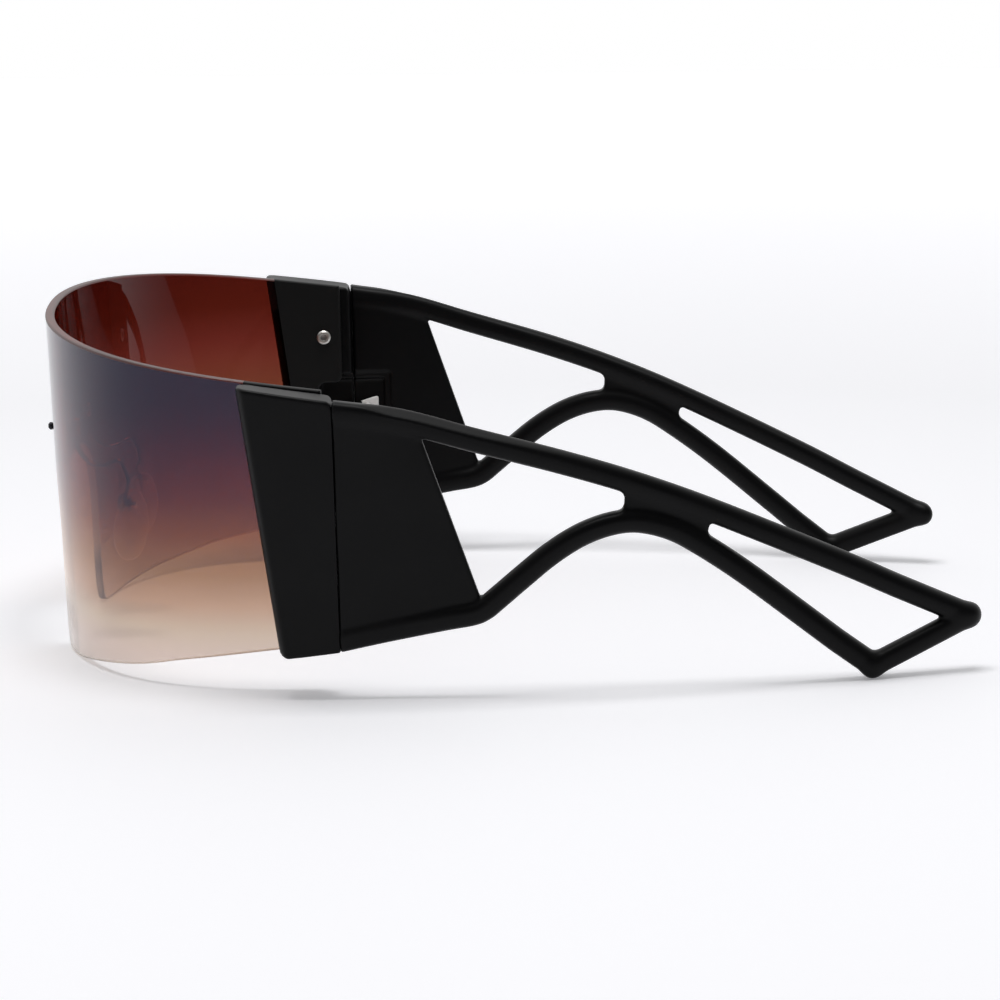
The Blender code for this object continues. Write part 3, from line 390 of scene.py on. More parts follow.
def within(frame, x, y, z):
    """The frame's own coordinates of a place."""
    offset = [x - frame[0, 3], y - frame[1, 3], z - frame[2, 3]]
    return [sum(frame[row, column] * offset[row] for row in range(3)) for column in range(3)]


HINGE = hinge_frame()


def in_hinge(w, y, z):
    """The three hinge coordinates of a place on the wall."""
    return within(HINGE, side(y, z) + w, y, z)


# %% [markdown]
# Where end piece and temple meet, the two faces slant a little, so that no light shows through the
# thin gap from the side. The slant runs the way that the fold opens, so the faces never rub.

# %% The joint between end piece and temple
JOINT_GAP, JOINT_SLANT = 0.08, 0.35


def behind_joint(w, y, z):
    """How far a place lies behind the slanted joint.

    The slant is nothing outside and full at the temple's inner face. Within one more millimetre
    it is gone again, so that the folded temple does not touch the end piece.
    """
    a, b, _ = in_hinge(w, y, z)
    slant = np.minimum((AXIS_INSET + BAR - a) / BAR, 1 + (a - AXIS_INSET))
    return b - JOINT_SLANT * np.clip(slant, 0.0, 1.0)


# %% [markdown]
# ## Temples
# Each temple is one bar of 4.4 mm. It runs along the top, turns at the tip and the foot, and comes
# back over the arch that sits on the ear. Near the hinge the space between the bars is closed by a
# panel that is thick at the front and thin at its rear edge. Behind the arch a short web joins the
# bars. The hinge leaf lies in a pocket of the inner face. From the hinge to the middle of the upper
# bar its top slopes outwards a little, which shows as a lighter band in the photograph.

# %% The temple's lines and outlines
tip = np.array((TEMPLE_REACH, 0.185 * BROW_HEIGHT))
foot = np.array((100.4, 2.4))
top_line = np.vstack([2 * top_places[0] - top_places[1], through(top_places), tip])
foot_line = np.array([tip, foot])
lower_line = np.vstack([foot, through(np.vstack([arch_places, 2 * arch_places[-1] - arch_places[-2]]))])
PANEL_TOP, PANEL_FOOT, PANEL_RECESS, PANEL_REAR_WALL = 15.4, 27.6, 0.35, 2.4
WEB_FRONT_SHARES = ((0.439, 0.710), (0.435, 0.562))
WEB_REAR_SHARES = ((0.592, 0.586), (0.585, 0.462))
WEB_WALL, WEB_FRONT_SAG, WEB_REAR_SAG = 2.6, 1.6, 0.9


def between(line, low, high):
    """The part of a line whose y lies between two values, in rising order of y."""
    line = line[np.argsort(line[:, 0])]
    ends = [(y, np.interp(y, line[:, 0], line[:, 1])) for y in (low, high)]
    return np.vstack([ends[0], line[(line[:, 0] > low) & (line[:, 0] < high)], ends[1]])


def bowed(a, b, sag, pieces=8):
    """From a to b on a shallow arc that stands sag to the right of the straight line."""
    a, b = np.array(a, float), np.array(b, float)
    share = np.linspace(0.0, 1.0, pieces)[:, None]
    right = np.array([b[1] - a[1], a[0] - b[0]]) / np.linalg.norm(b - a)
    return a + (b - a) * share + right * sag * 4 * share * (1 - share)


upper_curve, arch_curve = through(top_places), through(arch_places)
panel_upper, panel_lower = between(upper_curve, -3.0, PANEL_TOP), between(arch_curve, -3.0, PANEL_FOOT)
panel_outline = np.vstack([panel_upper, panel_lower[::-1]])
size = (TEMPLE_REACH, BROW_HEIGHT)
web_top, web_low = np.array(WEB_FRONT_SHARES) * size
rear_top, rear_low = np.array(WEB_REAR_SHARES) * size
web_outline = np.vstack([
    bowed(web_low, web_top, WEB_FRONT_SAG),
    between(upper_curve, web_top[0], rear_top[0])[1:-1],
    bowed(rear_top, rear_low, WEB_REAR_SAG),
    between(arch_curve, web_low[0], rear_low[0])[::-1][1:-1],
])
print("panel outline", len(panel_outline), "web outline", len(web_outline), "places")

# %% The temple's formula
POCKET_FLOOR, POCKET_LENGTH, POCKET_HALF_HEIGHT = 2.2, 6.7, 8.2
POCKET_RIM, POCKET_RIM_DEPTH = 1.3, 0.3
BEVEL_START, BEVEL_SLOPE, BEVEL_LOW, BEVEL_NONE = 12.0, 0.45, 1.9, 3.4


def pocket(w, y, z, toward):
    """The hinge pocket and the shallow rim round it, below zero inside. toward is 1 in the temple."""
    a, b, c = in_hinge(w, y, z)
    ends = np.abs(c) - POCKET_HALF_HEIGHT
    deep = common(common(a - POCKET_FLOOR, toward * b - POCKET_LENGTH, 0.3), ends, 0.8)
    face = AXIS_INSET + POCKET_RIM_DEPTH
    rim = common(toward * b - POCKET_LENGTH - POCKET_RIM, ends - POCKET_RIM, 0.8)
    return joined(deep, common(a - face, rim, 0.2), 0.15)


def temple_field(w, y, z):
    power = 2.3 + 0.7 * (1 - smoothstep(y / LEAN_FADE))
    behind, hollow = behind_joint(w, y, z), pocket(w, y, z, 1)
    w = w / np.sqrt(1 + wall_slope(y) ** 2)

    def bar(line):
        """A bar's section, |d|^p + |w|^p = r^p: nearly square at the hinge and round at the ear."""
        return (line_distance(line, y, z) ** power + np.abs(w) ** power) ** (1 / power) - BAR / 2

    bars = joined(joined(bar(top_line), bar(foot_line), 1.0), bar(lower_line), 1.0)
    rear_edge = np.interp(z, (panel_lower[-1, 1], panel_upper[-1, 1]), (PANEL_FOOT, PANEL_TOP))
    reach = np.clip(y / rear_edge, 0.0, 1.0) ** 2
    outside = BAR / 2 - PANEL_RECESS - (BAR / 2 - PANEL_RECESS - PANEL_REAR_WALL / 2) * reach
    inside = -BAR / 2 + (BAR / 2 - PANEL_REAR_WALL / 2) * reach
    faces = common(w - outside, inside - w, 0.4)
    panel = common(outline_distance(panel_outline, y, z), faces, 0.6)
    web = common(outline_distance(web_outline, y, z), np.abs(w) - WEB_WALL / 2, 0.5)
    body = joined(joined(bars, panel, 0.7), web, 0.9)
    sloped = smoothstep(y / BEVEL_START) * (1 - smoothstep((y - BEVEL_START) / LEAN_FADE))
    up = z - np.interp(y, upper_curve[:, 0], upper_curve[:, 1])
    bevel = up + BEVEL_SLOPE * w - BEVEL_NONE + (BEVEL_NONE - BEVEL_LOW) * sloped
    body = common(body, bevel / math.hypot(1, BEVEL_SLOPE), 0.3)
    body = common(body, JOINT_GAP / 2 - behind, 0.25)
    return common(body, -hollow, 0.3)


# %% [markdown]
# ## End pieces
# The block between lens and temple is 7.6 mm thick. Its inner face follows the lens, its front
# edge is bevelled where the lens runs in behind it, and the corner at the top of the joint is
# rounded, which leaves the small notch that shows against the light. Its outline runs on past the
# joint, which cuts it off.

# %% The lens's own surface, which the end piece follows


def lens_top(share):
    return BROW_HEIGHT + (LENS_HEIGHT - BROW_HEIGHT) * share


def lens_taper(drop):
    return LENS_HALF_WIDTH - SIDE_SLOPE * drop, LENS_DEPTH - LENS_DEPTH_TAPER * drop


def lens_side(y, z):
    """How far out the lens stands at this y and z, near its rear ends."""
    half_width, depth = lens_taper(lens_top(np.abs(y) / LENS_DEPTH) - z)
    share = np.clip(-np.minimum(y, 0.0) / depth, 0.0, 0.98)
    return half_width * (1 - share**LENS_FRONT_POWER) ** (1 / LENS_SIDE_POWER)


# %% The end piece's formula
END_FOOT_LENGTH, END_RISE, END_FOOT_HEIGHT, END_HEEL_HEIGHT = 10.2, 1.9, 7.6, 9.2
END_CORNER, END_TOP_ROUND, END_FRONT_ROUND, END_BEVEL, END_CHAMFER = 1.6, 1.3, 0.5, 1.1, 1.6
END_OVERRUN = 2.0
front_top = np.array((-END_LENGTH, BROW_HEIGHT + END_RISE))
front_foot = np.array((-END_FOOT_LENGTH, END_FOOT_HEIGHT))
joint_low, joint_high = (
    np.array((parting_y(z) - JOINT_GAP / 2, z)) for z in (END_HEEL_HEIGHT, BROW_HEIGHT - SIDE_DROP)
)
joint_round = rounded_corner(joint_low, joint_high, front_top, END_TOP_ROUND)
end_outline = np.vstack([
    (END_OVERRUN, END_HEEL_HEIGHT), (END_OVERRUN, joint_round[0, 1]), joint_round,
    rounded_corner(joint_high, front_top, front_foot, END_FRONT_ROUND),
    rounded_corner(front_top, front_foot, joint_low, END_CORNER),
])
front_edge = front_foot - front_top
front_inwards = np.array((-front_edge[1], front_edge[0])) / np.linalg.norm(front_edge)


def end_piece_field(w, y, z):
    inner = lens_side(y, z) + PART_GAP - (side(y, z) + w)
    from_front = (y - front_top[0]) * front_inwards[0] + (z - front_top[1]) * front_inwards[1]
    bevel = (w - BAR / 2 + END_BEVEL - from_front) / math.sqrt(2)
    lens_bevel = (inner + END_CHAMFER - from_front) / math.sqrt(2)
    block = common(common(w - BAR / 2, bevel, 0.3), common(inner, lens_bevel, 0.3), 0.5)
    block = common(block, outline_distance(end_outline, y, z), 0.7)
    block = common(block, behind_joint(w, y, z) + JOINT_GAP / 2, 0.25)
    return common(block, -pocket(w, y, z, -1), 0.3)


# %% [markdown]
# ## Lens
# The lens is a ruled shell 1.8 mm thick. From above its edge is a superellipse, with a power of 2.2
# across and 3.06 ahead, and lower down the same curve shrinks a little. It is drawn flat first, as
# length along the curve and height, and then bent onto its surface. Its cut edges show as thin
# lines, so each edge is a rounded profile carried along the outline, and only the wide faces
# between the edges are filled with triangles.

# %% The lens surface and its length along the curve


def lens_outer(turn, z):
    """x = W sign(sin t)|sin t|^(2/2.2), y = -D |cos t|^(2/3.06). W and D shrink below the top."""
    across = np.sign(turn) * np.abs(np.sin(turn)) ** (2 / LENS_SIDE_POWER)
    ahead = np.abs(np.cos(turn)) ** (2 / LENS_FRONT_POWER)
    half_width, depth = lens_taper(lens_top(ahead) - z)
    return np.stack([half_width * across, -depth * ahead, z + 0 * turn], -1)


def lens_normal(point):
    x, y, z = np.moveaxis(np.asarray(point), -1, 0)
    half_width, depth = lens_taper(lens_top(np.abs(y) / LENS_DEPTH) - z)
    across = np.sign(x) * np.abs(x / half_width) ** (LENS_SIDE_POWER - 1) * LENS_SIDE_POWER / half_width
    ahead = -np.abs(y / depth) ** (LENS_FRONT_POWER - 1) * LENS_FRONT_POWER / depth
    lean = x / half_width * SIDE_SLOPE * across + y / depth * LENS_DEPTH_TAPER * ahead
    normal = np.stack([across, ahead, -lean], -1)
    return normal / np.linalg.norm(normal, axis=-1, keepdims=True)


ARC_PLACES = 4000
turns = np.linspace(0.0, math.pi / 2, ARC_PLACES)
lengths = np.linalg.norm(np.diff(lens_outer(turns, BROW_HEIGHT), axis=0), axis=1)
arcs = np.append(0.0, np.cumsum(lengths))
print("lens length along its curve:", round(2 * arcs[-1], 1), "mm")


def turn_at_arc(arc):
    return np.sign(arc) * np.interp(np.abs(arc), arcs, turns)


def arc_at_y(y, z):
    depth = lens_taper(lens_top(np.abs(y) / LENS_DEPTH) - z)[1]
    cosine = np.minimum(1.0, np.abs(y) / depth) ** (LENS_FRONT_POWER / 2)
    return np.interp(np.arccos(cosine), turns, arcs)


# %% The lens's flat outline
LENS_SETBACK, LENS_TAIL_RISE, LENS_CORNER = 2.0, 8.9, 1.5
NOSE_HALF_WIDTH, NOSE_HEIGHT, LOBE_FLAT = 20.5, 35.0, 5.0
NOTCH_SHARES = (
    (0.0, 1.0), (0.45, 0.985), (0.75, 0.92), (0.93, 0.80), (1.0, 0.64),
    (1.0, 0.40), (1.0, 0.22), (1.03, 0.09), (1.10, 0.02), (1.22, 0.0),
)
SKIRT_SHARES = (
    (0.0, 0.0), (0.08, 0.05), (0.20, 0.155), (0.31, 0.25), (0.42, 0.36), (0.50, 0.47),
    (0.57, 0.58), (0.72, 0.755), (0.86, 0.895), (1.0, 1.0),
)


def lens_outline():
    """(length along the curve, height) from the nose notch round to the brow, and then mirrored."""
    nose = through(np.array(NOTCH_SHARES) * (NOSE_HALF_WIDTH, NOSE_HEIGHT))
    low_rear = arc_at_y(parting_y(LENS_TAIL_RISE) - LENS_SETBACK, LENS_TAIL_RISE)
    start = nose[-1, 0] + LOBE_FLAT
    skirt = through(np.array(SKIRT_SHARES) * (low_rear - start, LENS_TAIL_RISE) + (start, 0.0))
    low, high = HINGE_HEIGHT - POCKET_HALF_HEIGHT, HINGE_HEIGHT + POCKET_HALF_HEIGHT
    rear = [(arc_at_y(parting_y(z) - LENS_SETBACK, z), z) for z in (low, high)]
    front = [(arc_at_y(parting_y(z) - POCKET_LENGTH - PART_GAP, z), z) for z in (low, high)]
    top_rear = (arc_at_y(-LENS_SETBACK, BROW_HEIGHT), lens_top(LENS_SETBACK / LENS_DEPTH))
    corners = [skirt[-2], (low_rear, LENS_TAIL_RISE), rear[0], front[0], front[1], rear[1], top_rear]
    bends = [rounded_corner(a, v, b, LENS_CORNER) for a, v, b in zip(corners, corners[1:], corners[2:])]
    along = np.linspace(top_rear[0], 0.0, 60)
    brow = np.stack([along, lens_top(np.cos(turn_at_arc(along)) ** (2 / LENS_FRONT_POWER))], -1)
    half = np.vstack([nose, skirt[:-1]] + bends + [brow])
    return np.vstack([half, half[-2:0:-1] * (-1, 1)])


lens_edge = lens_outline()
print("lens outline", len(lens_edge), "places")


LENS_SCREW_BACK, SCREW_HEIGHTS = 5.6, (46.8, 15.2)
ARM_SPREAD, ARM_HEIGHT = 9.0, 41.5
SCREW_HOLE, ARM_HOLE, PRINT_BACK = 0.85, 0.62, 1.8
screw_spots = [
    (arc_at_y(parting_y(z) - LENS_SCREW_BACK, z), z, SCREW_HOLE, SIDE_SLOPE) for z in SCREW_HEIGHTS
]
screw_spots.append((ARM_SPREAD, ARM_HEIGHT, ARM_HOLE, LENS_DEPTH_TAPER))


def print_start(z):
    """Length along the curve where the black print starts, just behind the end piece's front edge."""
    lean = (front_foot[0] - front_top[0]) / (front_top[1] - front_foot[1])
    return arc_at_y(front_top[0] + PRINT_BACK + lean * (front_top[1] - z), z)


def on_lens(arc, z, depth):
    """From (length along the curve, height) and level depth in the wall to (x, y, z)."""
    outer = lens_outer(turn_at_arc(arc), z)
    inwards = lens_normal(outer) * (1, 1, 0)
    return outer - depth * inwards / (inwards**2).sum(-1, keepdims=True)


# %% Edges of the lens


def evened(outline, step):
    """The same closed outline with its places a nearly even step apart."""
    closed = np.vstack([outline, outline[:1]])
    far = np.append(0.0, np.cumsum(np.linalg.norm(np.diff(closed, axis=0), axis=1)))
    places = np.linspace(0.0, far[-1], round(far[-1] / step), endpoint=False)
    return np.stack([np.interp(places, far, closed[:, k]) for k in (0, 1)], -1)


def rim_rows(edge):
    """Rows of the rim as (inset from the outline, depth), with a quarter circle at both faces."""
    turn = np.linspace(0.0, math.pi / 2, 6)
    inset, depth = edge * (1 - np.sin(turn)), edge * (1 - np.cos(turn))
    return np.stack([np.append(inset, inset[::-1]), np.append(depth, LENS_WALL - depth[::-1])], -1)


OUTLINE_STEP, OUTLINE_ROUND, HOLE_ROUND, HOLE_SIDES = 0.55, 0.38, 0.12, 28
EDGE_CLEAR, PRINT_CLEAR = 0.5, 0.4


def lens_mesh():
    """The two faces share one flat triangulation. Each rim joins their edges by rows of quads.

    The last result numbers each face's finish: 0 outer face, 1 cut edge, 2 black print, 3 inner face.
    """
    outline = evened(lens_edge, OUTLINE_STEP)
    ahead = np.roll(outline, -1, axis=0) - np.roll(outline, 1, axis=0)
    outward = np.stack([ahead[:, 1], -ahead[:, 0]], -1) / np.linalg.norm(ahead, axis=1)[:, None]
    loops = [(outline, outward, rim_rows(OUTLINE_ROUND), 0.0)]
    angle = 2 * math.pi * np.arange(HOLE_SIDES) / HOLE_SIDES
    circle = np.stack([np.cos(angle), np.sin(angle)], -1)
    for along, up, radius, lean in screw_spots:
        for sign in (-1, 1):
            loops.append((circle * radius + (sign * along, up), -circle, rim_rows(HOLE_ROUND), lean))
    rings = [line - outward * rows[0, 0] for line, outward, rows, _ in loops]
    grid = np.stack(np.meshgrid(spaced(-101, 101, 0.9), spaced(0.5, 64.0, 1.3)), -1).reshape(-1, 2)
    clear = outline_distance(rings[0], *grid.T) < -EDGE_CLEAR
    clear &= np.abs(np.abs(grid[:, 0]) - print_start(grid[:, 1])) > PRINT_CLEAR
    for along, up, radius, _ in screw_spots:
        clear &= np.hypot(np.abs(grid[:, 0]) - along, grid[:, 1] - up) > radius + EDGE_CLEAR
    starts = np.cumsum([0] + [len(ring) for ring in rings])
    bounds = [(a + k, a + (k + 1) % (b - a)) for a, b in zip(starts, starts[1:]) for k in range(b - a)]
    lines, used = [], starts[-1]
    for sign in (-1, 1):
        up = rings[0][:, 1]
        off = np.abs(sign * rings[0][:, 0] - print_start(up))
        parts = (up < 0.3 * LENS_HEIGHT, up > 0.7 * LENS_HEIGHT)
        low, high = (int(np.argmin(np.where(part, off, np.inf))) for part in parts)
        level = spaced(up[low] + 0.7, up[high] - 0.7, 0.8)
        lines.append(np.stack([sign * print_start(level), level], -1))
        chain = [low, *range(used, used + len(level)), high]
        bounds += list(zip(chain, chain[1:]))
        used += len(level)
    flat = np.vstack(rings + lines + [grid[clear]])
    triangles = np.array(delaunay_2d_cdt([Vector(place) for place in flat], bounds, [], 1, 1e-7)[2])
    middle = flat[triangles].mean(axis=1)
    solid = np.ones(len(triangles), bool)
    for along, up, radius, _ in screw_spots:
        solid &= np.hypot(np.abs(middle[:, 0]) - along, middle[:, 1] - up) > radius
    triangles = triangles[solid]
    count = len(flat)
    inner_flat = flat.copy()
    for (_, _, _, lean), a, b in zip(loops, starts, starts[1:]):
        inner_flat[a:b, 1] += lean * LENS_WALL
    points = [on_lens(*flat.T, 0.0), on_lens(*inner_flat.T, LENS_WALL)]
    none = np.full((len(triangles), 1), -1)
    faces = [np.hstack([triangles, none]), np.hstack([triangles[:, ::-1] + count, none])]
    middle = flat[triangles].mean(axis=1)
    kinds = [np.zeros(len(triangles)), np.where(np.abs(middle[:, 0]) > print_start(middle[:, 1]), 2, 3)]
    total = 2 * count
    for number, ((line, outward, rows, lean), a, b) in enumerate(zip(loops, starts, starts[1:])):
        rim = line[None] - outward[None] * rows[1:-1, :1, None]
        depth = rows[1:-1, 1]
        rim[..., 1] += lean * depth[:, None]
        around = b - a
        points.append(np.concatenate([on_lens(*row.T, deep) for row, deep in zip(rim, depth)]))
        middle_rows = total + np.arange(len(depth) * around).reshape(len(depth), around)
        index = np.vstack([np.arange(a, b), middle_rows, np.arange(a, b) + count])
        beside = np.roll(index, -1, axis=1)
        quads = np.stack([index[:-1], index[1:], beside[1:], beside[:-1]], -1).reshape(-1, 4)
        faces.append(quads if number == 0 else quads[:, ::-1])
        total += len(depth) * around
        kind = 1 + (np.abs(line[:, 0]) > print_start(line[:, 1])) if number == 0 else np.zeros(around)
        kinds.append(np.tile(kind, len(index) - 1))
    return np.vstack(points), np.vstack(faces), count, np.concatenate(kinds)


# %% [markdown]
# ## Finishes
# One function adds a node with its settings and links. Colours are sRGB hex values, turned to the
# linear values that Blender computes with.

# %% Colour and node helpers


def linear(colour):
    """An sRGB hex colour as linear red, green, blue and a full alpha."""
    parts = [int(colour[k : k + 2], 16) / 255 for k in (1, 3, 5)]
    return tuple(c / 12.92 if c <= 0.04045 else ((c + 0.055) / 1.055) ** 2.4 for c in parts) + (1.0,)


def add_node(tree, kind, settings=None, links=None):
    """A shader node with its attributes or input values set, and its inputs linked to outputs."""
    node = tree.nodes.new("ShaderNode" + kind)
    for name, value in (settings or {}).items():
        if isinstance(name, int) or name in node.inputs.keys():
            node.inputs[name].default_value = value
        else:
            setattr(node, name, value)
    for name, source in (links or {}).items():
        tree.links.new(source, node.inputs[name])
    return node


def new_finish(name, **settings):
    """A material with a Principled shader that has these settings. Underscores stand for spaces."""
    finish = bpy.data.materials.new(name)
    finish.use_nodes = True
    shader = finish.node_tree.nodes["Principled BSDF"]
    for key, value in settings.items():
        shader.inputs[key.replace("_", " ")].default_value = value
    return finish, finish.node_tree, shader


def noise_on(tree, shader, size_mm, bump=None, gloss=None, noise=None):
    """Noise with this grain. bump is its strength and depth in mm, gloss maps it to the roughness."""
    spot = add_node(tree, "TexCoord")
    settings = {"Scale": 1 / (size_mm * MM)} | (noise or {})
    grain = add_node(tree, "TexNoise", settings, {"Vector": spot.outputs["Object"]})
    if bump:
        settings = {"Strength": bump[0], "Distance": bump[1] * MM}
        dents = add_node(tree, "Bump", settings, {"Height": grain.outputs["Fac"]})
        tree.links.new(dents.outputs["Normal"], shader.inputs["Normal"])
    if gloss:
        rough = add_node(tree, "MapRange", gloss, {"Value": grain.outputs["Fac"]})
        tree.links.new(rough.outputs["Result"], shader.inputs["Roughness"])


# %% [markdown]
# ### Moulded nylon
# Frames of this kind are injection moulded in nylon (PA12). The mould is bead blasted, so the black
# is satin: a grain of about a quarter of a millimetre scatters the light a little. The gloss itself
# wanders over about 14 mm, as the melt cools unevenly.

# %% Black moulded nylon
NYLON_GRAIN_MM, NYLON_CLOUD_MM = 0.28, 14
nylon, tree, shader = new_finish(
    "black_nylon_moulded", Base_Color=linear("#060607"),
    Roughness=0.4, IOR=1.53, Specular_IOR_Level=0.12,
)
noise_on(tree, shader, NYLON_GRAIN_MM, bump=(0.12, 0.02), noise={"Detail": 2.0, "Roughness": 0.6})
satin = {"From Min": 0.3, "From Max": 0.7, "To Min": 0.36, "To Max": 0.46}
noise_on(tree, shader, NYLON_CLOUD_MM, gloss=satin, noise={"Detail": 2.0})

# %% [markdown]
# ### Graded polycarbonate
# The lens is clear polycarbonate (IOR 1.585) that was dipped in hot dye and drawn out slowly, so the
# top took most of it: deep red brown at the brow, rose brown in the middle and cream below. Light
# that crosses the wall at a slant passes more dye, so the colour is raised to the power of that
# longer way, one over the cosine of the angle inside the wall. A thin hard coat gives the mirror
# image its cool cast, which turns the dark top of the outside to slate and plum. The inner face has
# the usual anti-reflection coat, so that the wearer does not see their own eyes in it. Lamp light
# passes the lens to the floor: for shadow rays the faces are nearly clear where they are met squarely.

# %% Tinted lens
LENS_IOR = 1.585
DYE = (
    (0.00, "#dfd4cc"), (0.09, "#d7c6ba"), (0.165, "#d0bda9"), (0.25, "#c3a288"), (0.34, "#a78161"),
    (0.46, "#8a5738"), (0.57, "#733c2b"), (0.67, "#6e3025"), (0.73, "#65261e"), (0.84, "#50170d"),
    (1.00, "#46100a"),
)


def by_height(tree, colours):
    """A colour that changes with the height above the table."""
    spot = add_node(tree, "TexCoord")
    height = add_node(tree, "SeparateXYZ", {}, {"Vector": spot.outputs["Object"]})
    top = {"From Max": LENS_HEIGHT * MM}
    share = add_node(tree, "MapRange", top, {"Value": height.outputs["Z"]})
    ramp = add_node(tree, "ValToRGB", {}, {"Fac": share.outputs["Result"]})
    stops = ramp.color_ramp.elements
    for place, colour in colours[1:-1]:
        stops.new(place)
    for stop, (place, colour) in zip(stops, colours):
        stop.position, stop.color = place, linear(colour)
    return ramp.outputs["Color"]


def dyed_face(name, mirror):
    """A polished face of the dyed sheet. mirror tints its mirror image, and a dark one weakens it."""
    finish, tree, shader = new_finish(
        name, Roughness=0.015, IOR=LENS_IOR, Transmission_Weight=1.0, Specular_Tint=linear(mirror)
    )
    facing = add_node(tree, "LayerWeight", {"Blend": 0.5})
    cosine = add_node(tree, "Math", {"operation": "SUBTRACT", 0: 1.0}, {1: facing.outputs["Facing"]})
    way, share = cosine, 1 / LENS_IOR**2
    for settings in (
        {"operation": "POWER", 1: 2.0},
        {"operation": "MULTIPLY_ADD", 1: share, 2: 1 - share},
        {"operation": "POWER", 1: -0.5},
    ):
        way = add_node(tree, "Math", settings, {0: way.outputs[0]})
    deeper = add_node(tree, "Gamma", {}, {"Color": by_height(tree, DYE), "Gamma": way.outputs[0]})
    tree.links.new(deeper.outputs["Color"], shader.inputs["Base Color"])
    path = add_node(tree, "LightPath")
    both = {0: path.outputs["Is Shadow Ray"], 1: cosine.outputs[0]}
    passed = add_node(tree, "Math", {"operation": "MULTIPLY"}, both)
    settings = {"operation": "MULTIPLY_ADD", 1: -0.9, 2: 1.0}
    solid = add_node(tree, "Math", settings, {0: passed.outputs[0]})
    tree.links.new(solid.outputs[0], shader.inputs["Alpha"])
    return finish


tint = dyed_face("graded_polycarbonate", "#cbd3ff")
inner_tint = dyed_face("graded_polycarbonate_inner", "#5f5f62")

# %% [markdown]
# The outline is milled and only buffed, so the cut edge is matte. Light that travels inside the sheet
# leaves there, as it does at the edge of any clear sheet. The renderer can't follow that light, and a
# painted glow stands for it: painted light in the dye's colour at the brow, pale at the sides of the
# nose notch, and weak along the foot, where the photograph shows a dark line.

# %% Cut edge of the lens
cut_edge, tree, shader = new_finish(
    "buffed_cut_edge", Roughness=0.4, IOR=LENS_IOR, Transmission_Weight=1.0, Specular_IOR_Level=0.3
)
PAINTED_EDGE_GLOW = (
    (0.00, "#4a4641"), (0.13, "#4a4641"), (0.20, "#b9b6b4"), (0.47, "#b9b6b4"), (0.62, "#4a2017"),
    (0.84, "#310b05"), (1.00, "#2c0804"),
)
tree.links.new(by_height(tree, DYE), shader.inputs["Base Color"])
# painted light: the cut edge glows in these colours, set by height
tree.links.new(by_height(tree, PAINTED_EDGE_GLOW), shader.inputs["Emission Color"])
shader.inputs["Emission Strength"].default_value = 1.0
noise_on(tree, shader, 0.25, bump=(0.2, 0.02))

# %% [markdown]
# Where the end piece lies against the lens, the inner face and its edges are screen printed in matte
# black, so that neither the screws' threads nor the moulding show through.

# %% Black print on the lens's rear ends
printed, tree, shader = new_finish(
    "matte_black_print", Base_Color=linear("#0c0c0c"), Roughness=0.55, Specular_IOR_Level=0.2
)
noise_on(tree, shader, 0.2, bump=(0.1, 0.01))

# %% [markdown]
# With the finishes ready, the lens and the two kinds of moulding are made. The lens gets its exact
# normals from its formula, so that the mirror image in it is smooth.

# %% Skins of the moulded pieces
points, faces, count, kinds = lens_mesh()
lens = lay_mesh("shield_lens_skin", points, faces, tint)
more_finishes(lens, [cut_edge, printed, inner_tint], kinds)
normals = np.zeros_like(points)
normals[:count] = lens_normal(points[:count])
normals[count : 2 * count] = -lens_normal(points[:count])
lens.data.normals_split_custom_set_from_vertices(normals)
dress(lens, "front", "shield_lens")
print("lens", len(faces), "faces")
block = (spaced(-7.5, 3.0, 0.35), spaced(-18.6, 1.2, 0.3), spaced(5.5, 60.8, 0.4))
points, faces = skin(end_piece_field, block)
lay_pair("end_piece", (on_wall(points), faces), "front", nylon)
block = (spaced(-3.0, 3.0, 0.4), spaced(-0.6, 122.5, 0.42), spaced(-1.0, 58.5, 0.42))
points, faces = skin(temple_field, block)
lay_pair("temple", (on_wall(points), faces), "temple", nylon)

# %% [markdown]
# ## Frames for the small metal pieces
# Screws, washers, nuts and the pads' boxes are drawn in frames of their own, with numbers that a
# maker would measure on them. A frame is a 4 by 4 matrix: three directions and a place.

# %% Frames on the lens and at the nose


def frame_at(place, across, upward, outward):
    frame = np.eye(4)
    frame[:3, 0], frame[:3, 1], frame[:3, 2], frame[:3, 3] = across, upward, outward, place
    return frame


def lens_frame(place):
    """Z outwards, square to the lens, and Y up."""
    outward = lens_normal(place)
    across = np.cross((0, 0, 1), outward)
    across /= np.linalg.norm(across)
    return frame_at(place, across, np.cross(outward, across), outward)


def placed(frame, points):
    return points @ frame[:3, :3].T + frame[:3, 3]


def inwards(frame):
    return frame @ np.diag((1.0, -1.0, -1.0, 1.0))


PAD_SPREAD, PAD_SETBACK, PAD_AXIS_HEIGHT = 11.5, 15.1, 26.6
PAD_SPLAY, PAD_TILT = math.radians(25), math.radians(14)
turn_out, tip_in = Matrix.Rotation(-PAD_SPLAY, 4, "Z"), Matrix.Rotation(-PAD_TILT, 4, "Y")
PAD = np.array(turn_out @ tip_in)
PAD[:3, 3] = PAD_SPREAD, PAD_SETBACK - LENS_DEPTH, PAD_AXIS_HEIGHT
SCREWS = []
for height in SCREW_HEIGHTS:
    y = parting_y(height) - LENS_SCREW_BACK
    SCREWS.append(inwards(lens_frame(np.array((float(lens_side(y, height)), y, height)))))
ARM = lens_frame(lens_outer(turn_at_arc(np.array(ARM_SPREAD)), ARM_HEIGHT))
print("pad frame at", PAD[:3, 3].round(1), "arm screw at", ARM[:3, 3].round(1))

# %% [markdown]
# ## Turned pieces
# A screw is a profile turned about its axis. The profile is a list of corners, each with its own
# rounding, and a corner may also follow a six-sided outline. That gives the nut its flats and the
# screw heads the socket that a hexagon key turns.

# %% A turned piece


def hexagon(angle):
    """Radius of a six-sided outline at an angle, as a share of the radius at its corners."""
    return math.cos(math.pi / 6) / np.cos(angle % (math.pi / 3) - math.pi / 6)


